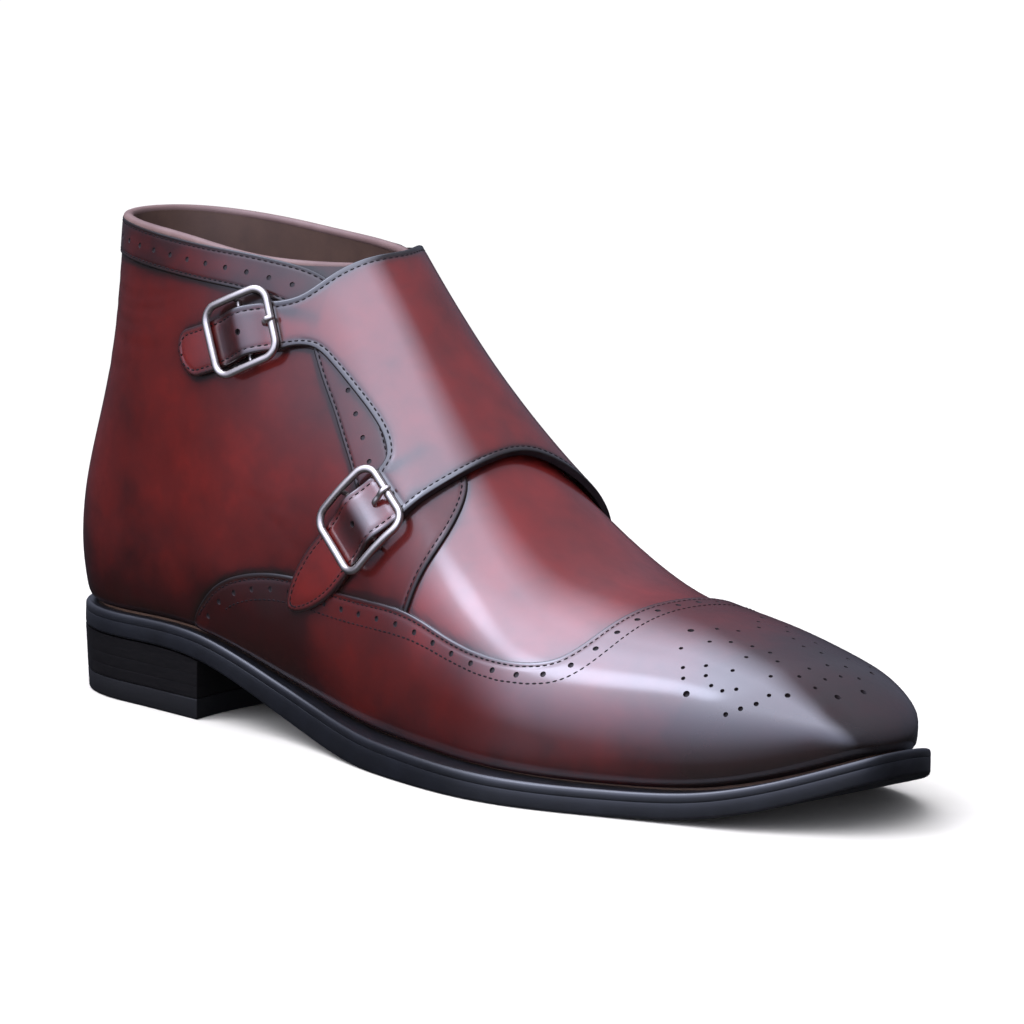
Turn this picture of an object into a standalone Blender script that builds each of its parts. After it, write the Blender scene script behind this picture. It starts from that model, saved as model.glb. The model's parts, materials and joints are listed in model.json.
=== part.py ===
"""Right ankle boot: a stitched upper on a welted leather sole, closed by a flap with two buckled straps.

X runs from the heel to the toe, +Y is the inner side of the foot and Z is up from the floor.
Sizes are millimetres until a mesh is made, where MM turns them into metres. The upper, the sole
and the flap are all drawn from one last, which the tables below describe.
"""

import math

import bmesh
import bpy
import numpy as np
from mathutils import Vector

MM = 0.001
LATERAL, MEDIAL = -1, 1
COLLECTION = "ankle_boot"

# ---- Driving dimensions (mm) ---------------------------------------------------------------
LAST_LENGTH = 298.0
GAP = 0.3                  # between two pieces that touch
WALL = 2.2                 # leather and lining of the upper
WELT = 2.5
INSOLE = 4.2
HEEL_LENGTH = 72.0
BREAST_BOW = 5.0           # hollow of the heel's front face
TOP_LIFT = 6.0
HEEL_TAPER = 0.97          # the heel's foot against its top
FLAP = 2.0                 # thickness of the flap and its straps
BUCKLE_CORNER = 4.2
WIRE = 1.1                 # radius of the buckle's wire
BAR = 0.7
PRONG = 0.8
STRAP_RISE = 1.7           # how far a strap climbs over the buckle's centre bar

# ---- The last (mm) --------------------------------------------------------------------------
# x, half widths at the feather line and at the widest line above it, the rise of that widest
# line, the sideways place of the ridge, and the roundness of the arch between them.
SECTION_COLUMNS = ("x", "feather_lat", "feather_med", "body_lat", "body_med", "rise", "ridge_y", "round")
SECTIONS = (
    (0, 31.0, 31.0, 33.0, 33.0, 22, 0.0, 2.20),
    (35, 30.5, 30.5, 33.5, 33.5, 22, 0.0, 2.30),
    (75, 33.0, 29.0, 37.0, 37.0, 24, 0.0, 2.50),
    (115, 34.0, 27.5, 38.0, 33.0, 24, 0.0, 2.00),
    (150, 40.5, 30.5, 42.5, 36.0, 20, 0.5, 2.00),
    (180, 46.0, 37.5, 46.2, 45.0, 15, 1.0, 2.05),
    (205, 47.5, 42.5, 47.8, 48.0, 12, 1.0, 2.15),
    (230, 42.0, 42.5, 42.8, 45.5, 10, 0.5, 2.20),
    (262, 31.0, 37.5, 32.5, 38.0, 8, -1.0, 2.40),
    (298, 20.0, 30.0, 21.0, 30.5, 7, -1.0, 2.50),
)
# Underside of the outsole (heel seat, waist, flat tread, toe spring), its thickness, and how
# far it stands out past the upper on the two sides.
SOLE_COLUMNS = ("x", "z", "thick", "ledge_lat", "ledge_med")
SOLE = (
    (0, 19.0, 4.5, 1.6, 1.6),
    (40, 18.7, 4.5, 1.6, 1.6),
    (73, 17.0, 5.0, 1.8, 1.7),
    (105, 8.0, 6.2, 3.2, 2.0),
    (135, 1.5, 6.8, 5.2, 2.6),
    (155, 0.0, 6.4, 6.6, 3.4),
    (190, 0.0, 5.2, 7.2, 4.4),
    (220, 0.0, 4.6, 6.0, 4.6),
    (240, 0.3, 4.5, 4.8, 4.6),
    (262, 1.8, 4.5, 4.5, 4.5),
    (285, 7.5, 4.5, 4.5, 4.5),
    (304, 15.0, 4.5, 4.5, 4.5),
)
# The ridge over the toe and the instep; behind the throat it only shapes the leg's section.
RIDGE_COLUMNS = ("x", "z")
RIDGE = (
    (0, 235.0), (60, 180.0), (104, 145.5), (140, 107.0), (172, 75.5),
    (200, 55.5), (225, 49.0), (250, 45.3), (275, 39.0), (298, 33.0),
)
HEEL_BACK_COLUMNS = ("z", "x")
HEEL_BACK = ((20, 2.5), (30, 1.0), (45, 0.0), (60, 1.5), (80, 7.0), (100, 12.0), (120, 14.0), (140, 14.5))
# Top edge of the upper on its two sides, from the heel's back to the throat.
COLLAR_COLUMNS = ("x", "lateral", "medial")
COLLAR = ((14, 139.5, 139.5), (40, 138.0, 136.3), (65, 135.6, 133.8), (90, 132.2, 132.4), (118, 131.2, 131.2))
THROAT = 118.0
HEEL_ROUND = (36.0, 2.1)   # length and roundness of the plan curve at the heel's back
TOE_ROUND = (262.0, 2.1)   # where the toe's plan curve starts, and its roundness
TOE_DROP = (271.0, 2.2)    # where the ridge starts to drop to the toe, and its roundness
TOE_Y = -1.0

# ---- The flap (mm, side view) ------------------------------------------------------------------
# Each edge is a row of points (x, z) on one side of the last, from the ridge outwards.
FLAP_TOP_RIDGE = 116.0
FLAP_FRONT_RIDGE = 164.5
FLAP_FRONT_LATERAL = ((163.7, 80.8), (161.2, 76.2))
FLAP_TOP_LATERAL = ((114.0, 132.2), (109.3, 127.8), (104.8, 123.0))
FLAP_CUTOUT = ((108.8, 109.2), (112.6, 108.6), (118.5, 104.9), (128.0, 97.6), (136.8, 90.6), (141.8, 85.1))
FLAP_FRONT_MEDIAL = ((167.5, 75.0), (167.0, 63.0), (164.5, 52.0))
FLAP_TOP_MEDIAL = ((112.0, 134.5), (104.0, 133.0))
FLAP_ROOT_MEDIAL = ((159.5, 52.5), (150.5, 75.0), (138.0, 94.0), (121.0, 114.0), (104.0, 133.0))

# Straps: side-view place of the buckle, the way the strap runs back from the flap, its tail, its
# width, how far its root and its tail bow out of line, and the buckle's wire, centre to centre.
STRAP_COLUMNS = ("name", "x", "z", "run_x", "run_z", "tail", "tip", "width", "bow_root", "bow_tail",
                 "buckle_long", "buckle_wide")
STRAPS = (
    ("upper", 89.4, 111.7, -0.90, -0.44, 25.0, 0.75, 14.2, 3.6, -2.5, 21.4, 20.4),
    ("lower", 142.2, 65.4, -0.61, -0.79, 36.0, 1.15, 16.2, 0.0, -2.6, 22.8, 22.2),
)
ROOT = 14.0                # from the buckle's middle to where a strap leaves the flap

# ---- Colours: sRGB, roughness, metallic --------------------------------------------------------
LEATHER = ("#6d1a1d", 0.32, 0.0)
SOLE_EDGE = ("#16120f", 0.45, 0.0)
RUBBER = ("#121111", 0.7, 0.0)
INSOLE_TAN = ("#8a6a45", 0.6, 0.0)
STEEL = ("#d9d9d6", 0.22, 1.0)


class Curve:
    """A smooth curve through rows of a table: a natural cubic, held level past both ends."""

    def __init__(self, xs, ys):
        self.xs = np.asarray(xs, float)
        self.ys = np.asarray(ys, float)
        step = np.diff(self.xs)
        slope = np.diff(self.ys) / step
        count = len(self.xs)
        system = np.eye(count)
        bend = np.zeros(count)
        for i in range(1, count - 1):
            system[i, i - 1:i + 2] = step[i - 1], 2 * (step[i - 1] + step[i]), step[i]
            bend[i] = 6 * (slope[i] - slope[i - 1])
        self.bend = np.linalg.solve(system, bend)

    def __call__(self, x):
        x = np.clip(np.asarray(x, float), self.xs[0], self.xs[-1])
        i = np.clip(np.searchsorted(self.xs, x) - 1, 0, len(self.xs) - 2)
        left, right = self.xs[i], self.xs[i + 1]
        h = right - left
        a, b = (right - x) / h, (x - left) / h
        cubic = (a ** 3 - a) * self.bend[i] + (b ** 3 - b) * self.bend[i + 1]
        return a * self.ys[i] + b * self.ys[i + 1] + cubic * h * h / 6


def curves(columns, rows):
    """One Curve for each named column of a table, over its first column."""
    table = np.asarray(rows, float)
    return {name: Curve(table[:, 0], table[:, k + 1]) for k, name in enumerate(columns[1:])}


SECTION = curves(SECTION_COLUMNS, SECTIONS)
SOLE_LINE = curves(SOLE_COLUMNS, SOLE)
RIDGE_LINE = curves(RIDGE_COLUMNS, RIDGE)["z"]
BACK_LINE = curves(HEEL_BACK_COLUMNS, HEEL_BACK)["x"]
COLLAR_LINE = curves(COLLAR_COLUMNS, COLLAR)


def rounding(t, power):
    """Quarter of a superellipse: 1 at t = 0, falling to 0 at t = 1."""
    return np.maximum(1 - np.clip(t, 0, 1) ** power, 0) ** (1 / power)


def underside(x):
    return np.maximum(SOLE_LINE["z"](x), 0.0)


def sole_top(x):
    return underside(x) + SOLE_LINE["thick"](x)


def feather(x):
    """Height of the line where the upper meets the welt."""
    return sole_top(x) + GAP + WELT + GAP


def ridge(x):
    drop = rounding((np.asarray(x, float) - TOE_DROP[0]) / (LAST_LENGTH - TOE_DROP[0]), TOE_DROP[1])
    return feather(x) + (RIDGE_LINE(x) - feather(x)) * drop


def last_y(side, x, z):
    """Sideways place of the last's surface on one side, at x and z."""
    x, z = np.asarray(x, float), np.asarray(z, float)
    tag = "lat" if side == LATERAL else "med"
    low, body = SECTION["feather_" + tag](x), SECTION["body_" + tag](x)
    foot, top = feather(x), ridge(x)
    rise = np.minimum(SECTION["rise"](x), 0.45 * (top - foot))
    wide = foot + rise
    climb = np.clip((z - foot) / np.maximum(rise, 1e-6), 0, 1)
    half = np.where(z < wide, low + (body - low) * np.sin(climb * math.pi / 2), body)
    arch = rounding((z - wide) / np.maximum(top - wide, 1e-6), SECTION["round"](x))
    toe = rounding((x - TOE_ROUND[0]) / (LAST_LENGTH - TOE_ROUND[0]), TOE_ROUND[1])
    edge = TOE_Y + (side * half - TOE_Y) * toe
    centre = TOE_Y + (SECTION["ridge_y"](x) - TOE_Y) * toe
    heel = rounding(1 - np.clip((x - BACK_LINE(z)) / HEEL_ROUND[0], 0, 1), HEEL_ROUND[1])
    return (centre + (edge - centre) * arch) * heel


def last_points(side, xz):
    """Points of the last's surface at side-view places (..., 2)."""
    x, z = xz[..., 0], xz[..., 1]
    return np.stack([x, last_y(side, x, z), z], axis=-1)


# ---- Grids on the last -----------------------------------------------------------------------


def along(points, t):
    """Places along a row of points at shares t of its length, on a smooth curve."""
    points = np.asarray(points, float)
    run = np.concatenate([[0], np.cumsum(np.hypot(*np.diff(points, axis=0).T))])
    run /= run[-1]
    return np.stack([Curve(run, points[:, k])(t) for k in range(2)], axis=-1)


def ease(count, start=True, end=True):
    """Shares from 0 to 1 that crowd towards the ends where the last turns edge-on."""
    t = np.linspace(0, 1, count)
    if start and end:
        return (1 - np.cos(math.pi * t)) / 2
    if start:
        return 1 - np.cos(t * math.pi / 2)
    return t


def patch(bottom, top, left, right, u, v):
    """A grid (len(v), len(u), 2) filled in between four edges that share their corners."""
    u, v = u[None, :, None], v[:, None, None]
    ruled = (1 - v) * bottom[None] + v * top[None]
    across = (1 - u) * left[:, None] + u * right[:, None]
    corners = ((1 - u) * (1 - v) * bottom[0] + u * (1 - v) * bottom[-1]
               + (1 - u) * v * top[0] + u * v * top[-1])
    return ruled + across - corners


def ridge_run(x_from, x_to, t):
    """Side-view places along the ridge between two stations, evenly by length."""
    dense = x_from + (x_to - x_from) * ease(400)
    length = np.concatenate([[0], np.cumsum(np.hypot(np.diff(dense), np.diff(ridge(dense))))])
    x = np.interp(t * length[-1], length, dense)
    return np.stack([x, ridge(x)], axis=-1)


def upper_half(side, columns, rows):
    """Grid of one side of the upper, heel back to ridge and feather line to collar."""
    u = ease(columns)
    v = np.concatenate([[0.0], np.linspace(0.01, 1, rows - 1)])
    tag = "lateral" if side == LATERAL else "medial"
    foot_z = feather(0.0)
    back_z = foot_z + (COLLAR_LINE[tag](0) - foot_z) * v
    left = np.stack([BACK_LINE(back_z), back_z], axis=-1)
    right = ridge_run(LAST_LENGTH, THROAT, v)
    foot_x = left[0, 0] + (LAST_LENGTH - left[0, 0]) * u
    bottom = np.stack([foot_x, feather(foot_x)], axis=-1)
    top_x = left[-1, 0] + (THROAT - left[-1, 0]) * u
    top = np.stack([top_x, COLLAR_LINE[tag](top_x)], axis=-1)
    top[-1] = right[-1]
    left[0], left[-1] = bottom[0], top[0]
    right[0] = bottom[-1]
    return last_points(side, patch(bottom, top, left, right, u, v))


# ---- Meshes ----------------------------------------------------------------------------------


def linear(channel):
    return channel / 12.92 if channel <= 0.04045 else ((channel + 0.055) / 1.055) ** 2.4


def material(name, finish):
    colour, roughness, metallic = finish
    made = bpy.data.materials.new(name)
    made.use_nodes = True
    shader = made.node_tree.nodes["Principled BSDF"]
    rgb = [linear(int(colour[k:k + 2], 16) / 255) for k in (1, 3, 5)]
    shader.inputs["Base Color"].default_value = (*rgb, 1.0)
    shader.inputs["Roughness"].default_value = roughness
    shader.inputs["Metallic"].default_value = metallic
    return made


def link(name, mesh, finish, collection=COLLECTION):
    """An object of a mesh, in a collection that is made when it is first needed."""
    made = bpy.data.objects.new(name, mesh)
    home = bpy.data.collections.get(collection)
    if home is None:
        home = bpy.data.collections.new(collection)
        bpy.context.scene.collection.children.link(home)
    home.objects.link(made)
    mesh.materials.append(material(name, finish))
    mesh.shade_smooth()
    mesh.set_sharp_from_angle(angle=math.radians(35))
    return made


def grid_faces(rows, columns, start=0, wrap_columns=False, wrap_rows=False):
    """Quads of a grid of points numbered row by row from start."""
    faces = []
    for j in range(rows if wrap_rows else rows - 1):
        for i in range(columns if wrap_columns else columns - 1):
            i2, j2 = (i + 1) % columns, (j + 1) % rows
            faces.append(tuple(start + k for k in (j * columns + i, j * columns + i2,
                                                   j2 * columns + i2, j2 * columns + i)))
    return faces


def mesh_of(name, grids, **wrap):
    """One mesh of several grids of points (mm), welded where they share an edge."""
    made = bmesh.new()
    for grid in grids:
        rows, columns = grid.shape[:2]
        verts = [made.verts.new(Vector(p) * MM) for p in grid.reshape(-1, 3)]
        for face in grid_faces(rows, columns, **wrap):
            made.faces.new([verts[k] for k in face])
    bmesh.ops.remove_doubles(made, verts=made.verts, dist=0.02 * MM)
    bmesh.ops.dissolve_degenerate(made, edges=made.edges, dist=0.005 * MM)
    bmesh.ops.recalc_face_normals(made, faces=made.faces)
    mesh = bpy.data.meshes.new(name)
    made.to_mesh(mesh)
    made.free()
    return mesh


def add_shell(obj, thickness):
    """Thickness (mm) from the drawn surface: outwards when positive, inwards when negative."""
    shell = obj.modifiers.new("wall", "SOLIDIFY")
    shell.thickness = abs(thickness) * MM
    shell.offset = math.copysign(1, thickness)
    shell.use_even_offset = False


def rings_solid(name, rings, finish, closed=False):
    """A solid lofted through closed rings of points; the first and last close it, or join up."""
    mesh = mesh_of(name, [np.stack(rings)], wrap_columns=True, wrap_rows=closed)
    return link(name, mesh, finish)


# ---- Sole ----------------------------------------------------------------------------------


def sole_outline(inset=None, columns=32):
    """Plan loop of the sole, or of the feather line drawn in, with the middle that it faces."""
    u = ease(columns + 1)
    foot_x = BACK_LINE(feather(0.0)) + (LAST_LENGTH - BACK_LINE(feather(0.0))) * u
    sides = [np.stack([foot_x, last_y(side, foot_x, feather(foot_x))], axis=-1) for side in (LATERAL, MEDIAL)]
    loop = np.concatenate([sides[0], sides[1][-2:0:-1]])
    middle_x = np.clip(foot_x, 34.0, 268.0)
    middle = np.stack([middle_x, 0.5 * (np.interp(middle_x, foot_x, sides[0][:, 1])
                                        + np.interp(middle_x, foot_x, sides[1][:, 1]))], axis=-1)
    middle = np.concatenate([middle, middle[-2:0:-1]])
    tangent = np.roll(loop, -1, axis=0) - np.roll(loop, 1, axis=0)
    outward = np.stack([tangent[:, 1], -tangent[:, 0]], axis=-1)
    outward /= np.linalg.norm(outward, axis=1, keepdims=True)
    if inset is None:
        lateral = np.arange(len(loop)) <= columns
        ledge = np.where(lateral, SOLE_LINE["ledge_lat"](loop[:, 0]), SOLE_LINE["ledge_med"](loop[:, 0]))
    else:
        ledge = np.full(len(loop), -inset)
    return loop + outward * ledge[:, None], middle


def lay(plan, height):
    return np.stack([plan[:, 0], plan[:, 1], np.broadcast_to(height, plan.shape[:1])], axis=-1)


def plate(name, low_plan, high_plan, middle, low, high, finish, steps=(0.0, 0.5, 1.0)):
    """A solid between two heights that follow x, closed from its edges to a middle line."""
    rings = []
    for plan, height, order in ((low_plan, low, steps[::-1]), (high_plan, high, steps)):
        for share in order:
            ring = plan + (middle - plan) * share
            rings.append(lay(ring, height(ring[:, 0])))
    return rings_solid(name, rings, finish)


def outsole():
    plan, middle = sole_outline()
    return plate("outsole", plan, plan, middle, underside, sole_top, SOLE_EDGE)


def welt():
    outer, _ = sole_outline()
    inner, _ = sole_outline(WALL + 0.4)
    rings = [lay(plan, sole_top(plan[:, 0]) + GAP + lift)
             for plan, lift in ((outer, 0.0), (outer, WELT), (inner, WELT), (inner, 0.0))]
    return rings_solid("welt", rings, SOLE_EDGE, closed=True)


def insole():
    plan, middle = sole_outline(WALL + 2.3)
    return plate("insole", plan, plan, middle, lambda x: sole_top(x) + GAP,
                 lambda x: sole_top(x) + GAP + INSOLE, INSOLE_TAN)


def heel_loop():
    """Plan loop of the heel: the sole's outline as far as the hollow breast that closes it."""
    plan, _ = sole_outline()
    half = len(plan) // 2
    lateral, medial = plan[:half + 1], np.concatenate([plan[:1], plan[:half - 1:-1]])
    corners = [np.array([HEEL_LENGTH, np.interp(HEEL_LENGTH, side[:, 0], side[:, 1])])
               for side in (lateral, medial)]
    kept = [side[side[:, 0] < HEEL_LENGTH - 2.0] for side in (lateral, medial)]
    share = np.linspace(0, 1, 9)[:, None]
    breast = corners[0] + (corners[1] - corners[0]) * share
    breast[:, 0] -= BREAST_BOW * (1 - (2 * share[:, 0] - 1) ** 2)
    return np.concatenate([kept[0], breast, kept[1][:0:-1]])


def heel_block():
    """The stack under the heel seat and the top lift that it stands on."""
    top = heel_loop()
    centre = np.broadcast_to([34.0, 0.0], top.shape)
    foot = centre + (top - centre) * HEEL_TAPER
    joint = foot + (top - foot) * (TOP_LIFT / underside(0.0))
    plate("heel_stack", joint, top, centre, lambda x: 0 * x + TOP_LIFT + GAP,
          lambda x: underside(x) - GAP, SOLE_EDGE)
    plate("heel_top_lift", foot, joint, centre, lambda x: 0 * x, lambda x: 0 * x + TOP_LIFT, RUBBER)


# ---- Upper and flap ----------------------------------------------------------------------------


def upper():
    halves = [upper_half(side, 33, 23) for side in (LATERAL, MEDIAL)]
    made = link("upper", mesh_of("upper", halves), LEATHER)
    add_shell(made, -WALL)
    return made


class Strap:
    """Flat coordinates for one strap: s back along it from the buckle's middle, t across, h out."""

    def __init__(self, name, x, z, run_x, run_z, tail, tip, width, bow_root, bow_tail, buckle_long, buckle_wide):
        self.name, self.tail, self.tip, self.width = name, tail, tip, width
        self.bow_root, self.bow_tail = bow_root, bow_tail
        self.buckle_long, self.buckle_wide = buckle_long, buckle_wide
        self.middle = np.array([x, float(last_y(LATERAL, x, z)), z])
        step = 2.0
        slope_x = (last_y(LATERAL, x + step, z) - last_y(LATERAL, x - step, z)) / (2 * step)
        slope_z = (last_y(LATERAL, x, z + step) - last_y(LATERAL, x, z - step)) / (2 * step)
        out = np.array([float(slope_x), -1.0, float(slope_z)])
        self.out = out / np.linalg.norm(out)
        run = np.array([run_x, 0.0, run_z])
        run -= self.out * (run @ self.out)
        self.run = run / np.linalg.norm(run)
        self.across = np.cross(self.out, self.run)

    def surface(self, s, t):
        """Points on the last under flat places s, t, met along the strap's outward direction."""
        flat = self.middle + np.multiply.outer(s, self.run) + np.multiply.outer(t, self.across)
        depth = np.zeros(flat.shape[:-1])
        for _ in range(12):
            point = flat + depth[..., None] * self.out
            depth += (last_y(LATERAL, point[..., 0], point[..., 2]) - point[..., 1]) / self.out[1] * 0.8
        return flat + depth[..., None] * self.out

    def bow(self, s):
        """How far the strap's middle lies out of line at s."""
        root, tail = np.minimum(s, 0.0) / ROOT, np.maximum(s - 4.0, 0.0) / (self.tail - 4.0)
        return self.bow_root * root ** 2 + self.bow_tail * tail ** 2

    def raised(self, s, t, height):
        """The same places, lifted off the last by a height."""
        return self.surface(np.asarray(s, float), np.asarray(t, float)) + np.multiply.outer(height, self.out)

    def rise(self, s):
        """Extra height of the strap where it climbs over the centre bar."""
        return STRAP_RISE * np.exp(-(np.asarray(s) / 4.0) ** 2)

    def half_width(self, s):
        """Half width at s: even along the strap, rounded off to the tip of the tail."""
        start = self.tail - 0.5 * self.width * self.tip
        return 0.5 * self.width * rounding((s - start) / (self.tail - start), 2.0)

    def ribbon(self, t_shares):
        """Grid of the strap on the last, from the flap's edge to the tip, a column for each share."""
        s = np.concatenate([np.linspace(-ROOT, 6.0, 15),
                            6.0 + (self.tail - 0.02 - 6.0) * np.sin(np.linspace(0, math.pi / 2, 11)[1:])])
        width = self.half_width(s)
        shares = np.asarray(t_shares)
        t = np.multiply.outer(width, shares) + self.bow(s)[:, None]
        return self.surface(np.repeat(s[:, None], len(shares), axis=1), t)


def straps():
    return [Strap(*row) for row in STRAPS]


def flap_grids(upper_strap, lower_strap):
    """The flap's surface on the last: two halves that meet on the ridge, and two straps."""
    width = np.linspace(-1, 1, 5)
    ribbons = [lower_strap.ribbon(width), upper_strap.ribbon(width)]
    roots = [ribbon[0] if ribbon[0, 0, 2] < ribbon[0, -1, 2] else ribbon[0, ::-1] for ribbon in ribbons]
    low_root, high_root = [root[:, [0, 2]] for root in roots]
    cut = along([low_root[-1], *FLAP_CUTOUT[::-1], high_root[0]], np.linspace(0, 1, 12))
    rear = np.concatenate([low_root, cut[1:-1], high_root])
    v = np.linspace(0, 1, len(rear))
    u = ease(10, end=False)
    spine = ridge_run(FLAP_FRONT_RIDGE, FLAP_TOP_RIDGE, v)
    front = along([spine[0], *FLAP_FRONT_LATERAL, rear[0]], u)
    top = along([spine[-1], *FLAP_TOP_LATERAL, rear[-1]], u)
    lateral = last_points(LATERAL, patch(front, top, spine, rear, u, v))
    lateral[:, -1] = np.concatenate([roots[0], lateral[5:-5, -1], roots[1]])
    front = along([spine[0], *FLAP_FRONT_MEDIAL], u)
    rear = along(FLAP_ROOT_MEDIAL, v)
    rear[0] = front[-1] - [3.5, 0.0]
    top = along([spine[-1], *FLAP_TOP_MEDIAL], u)
    front = along([spine[0], *FLAP_FRONT_MEDIAL, rear[0]], u)
    medial = last_points(MEDIAL, patch(front, top, spine, rear, u, v))
    return [lateral, medial, *ribbons]


def flap():
    """The flap with its two straps: one leather piece standing over the upper, holed for the prongs."""
    upper_strap, lower_strap = straps()
    mesh = mesh_of("strap_flap", flap_grids(upper_strap, lower_strap))
    made = bmesh.new()
    made.from_mesh(mesh)
    made.normal_update()
    normals = [v.normal.copy() for v in made.verts]
    for vert, normal in zip(made.verts, normals):
        lift = GAP
        for strap in (upper_strap, lower_strap):
            flat = np.array(vert.co) / MM - strap.middle
            s, t = flat @ strap.run, flat @ strap.across
            if abs(t) < strap.width and vert.co.y < 0:
                lift += float(strap.rise(s))
        vert.co += normal * lift * MM
    made.to_mesh(mesh)
    made.free()
    obj = link("strap_flap", mesh, LEATHER)
    add_shell(obj, FLAP)
    return obj


# ---- Buckles --------------------------------------------------------------------------------


def wire(name, points, radius, cyclic=False, sides=8):
    """A round wire through points (mm), as a mesh with welded ends."""
    curve = bpy.data.curves.new(name, "CURVE")
    curve.dimensions = "3D"
    curve.bevel_depth = radius * MM
    curve.bevel_resolution = sides // 2 - 2
    curve.use_fill_caps = not cyclic
    line = curve.splines.new("POLY")
    line.points.add(len(points) - 1)
    for place, point in zip(line.points, points):
        place.co = (*(float(v) * MM for v in point), 1.0)
    line.use_cyclic_u = cyclic
    drawn = bpy.data.objects.new(name, curve)
    bpy.context.scene.collection.objects.link(drawn)
    mesh = bpy.data.meshes.new_from_object(drawn.evaluated_get(bpy.context.evaluated_depsgraph_get()))
    bpy.data.objects.remove(drawn)
    made = bmesh.new()
    made.from_mesh(mesh)
    bmesh.ops.remove_doubles(made, verts=made.verts, dist=0.005 * MM)
    bmesh.ops.recalc_face_normals(made, faces=made.faces)
    made.to_mesh(mesh)
    made.free()
    return mesh


def frame_path(strap, height):
    """Rounded rectangle of the buckle's wire, laid over the last at a height."""
    half_s, half_t, corner = strap.buckle_long / 2, strap.buckle_wide / 2, BUCKLE_CORNER
    places = []
    for quarter, (side_s, side_t) in enumerate(((1, 1), (-1, 1), (-1, -1), (1, -1))):
        for turn in np.linspace(0, math.pi / 2, 5) + quarter * math.pi / 2:
            places.append((side_s * (half_s - corner) + corner * math.cos(turn),
                           side_t * (half_t - corner) + corner * math.sin(turn)))
        along_s = quarter % 2 == 0
        end = places[-1]
        for share in (1 / 3, 2 / 3):
            if along_s:
                places.append((end[0] * (1 - 2 * share), end[1]))
            else:
                places.append((end[0], end[1] * (1 - 2 * share)))
    places = np.array(places)
    return strap.raised(places[:, 0], places[:, 1], np.full(len(places), height))


def buckle(strap):
    """A frame of wire with its centre bar under the strap, and a prong through the strap."""
    over = GAP + FLAP + GAP + WIRE
    half_s, half_t = strap.buckle_long / 2, strap.buckle_wide / 2
    frame = link(strap.name + "_buckle", wire("frame", frame_path(strap, over), WIRE, cyclic=True), STEEL)
    low = GAP + BAR
    t = np.array([half_t, half_t - 0.5, half_t - 0.9, 0.0])
    t = np.concatenate([t, -t[-2::-1]])
    height = np.array([over, low + 1.2, low, low, low, low + 1.2, over])
    bar = link(strap.name + "_bar", wire("bar", strap.raised(0 * t, t, height), BAR, sides=6), STEEL, "cutters")
    bar.hide_render, bar.display_type = True, "WIRE"
    join = frame.modifiers.new("bar", "BOOLEAN")
    join.operation, join.object, join.solver = "UNION", bar, "EXACT"

    s = -np.array([0.0, 1.2, 3.5, 7.6, half_s - 2.0, half_s, half_s + 1.6])
    above = GAP + FLAP + GAP + PRONG
    height = np.array([low + BAR + GAP + PRONG, above + STRAP_RISE + 0.4, above + strap.rise(3.5) + 0.4,
                       above + 0.6, over + WIRE + PRONG + GAP - 0.5, over + WIRE + PRONG + GAP,
                       over + WIRE + PRONG + GAP - 0.2])
    link(strap.name + "_prong", wire("prong", strap.raised(s, 0 * s, height), PRONG), STEEL)
    return frame


def hole_cutter(strap):
    """A peg along the strap's outward direction, where the prong comes through."""
    middle = strap.raised(-0.6, 0.0, 3.0)
    bpy.ops.mesh.primitive_cylinder_add(vertices=16, radius=1.7 * MM, depth=9 * MM,
                                        location=Vector(middle) * MM,
                                        rotation=Vector(strap.out).to_track_quat("Z", "Y").to_euler())
    peg = bpy.context.object
    peg.name = strap.name + "_hole"
    for home in list(peg.users_collection):
        home.objects.unlink(peg)
    bpy.data.collections["cutters"].objects.link(peg)
    peg.hide_render, peg.display_type = True, "WIRE"
    return peg


def centre_on_origin():
    """Moves the whole boot so that its box stands centred over the origin."""
    boot = bpy.data.collections[COLLECTION].objects
    graph = bpy.context.evaluated_depsgraph_get()
    corners = [obj.matrix_world @ Vector(c) for obj in boot for c in obj.evaluated_get(graph).bound_box]
    middle = [0.5 * (min(c[k] for c in corners) + max(c[k] for c in corners)) for k in range(2)]
    for home in (COLLECTION, "cutters"):
        for obj in bpy.data.collections[home].objects:
            obj.location -= Vector((*middle, 0.0))


def main():
    for obj in list(bpy.data.objects):
        bpy.data.objects.remove(obj)
    outsole()
    welt()
    insole()
    heel_block()
    upper()
    leather = flap()
    for strap in straps():
        buckle(strap)
        hole = leather.modifiers.new(strap.name + "_hole", "BOOLEAN")
        hole.operation, hole.object, hole.solver = "DIFFERENCE", hole_cutter(strap), "EXACT"
    bpy.context.view_layer.update()
    centre_on_origin()


main()
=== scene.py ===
"""Visual model of a right ankle boot: burnished calf upper, wing cap, buckled flap, welted sole.

The leather panels are laid on one last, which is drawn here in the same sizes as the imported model.
X runs from heel to toe, +Y is the inner side of the foot, Z is up. Sizes are in millimetres until
a mesh is written.
"""

import json
import logging
import math
from dataclasses import dataclass, field
from enum import Enum
from typing import Callable, Optional, Sequence

import bpy
import numpy as np
from bpy.types import Material, Node, NodeSocket, NodeTree, Object
from mathutils import Matrix, Vector
from mathutils.bvhtree import BVHTree
from mathutils.kdtree import KDTree

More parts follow.
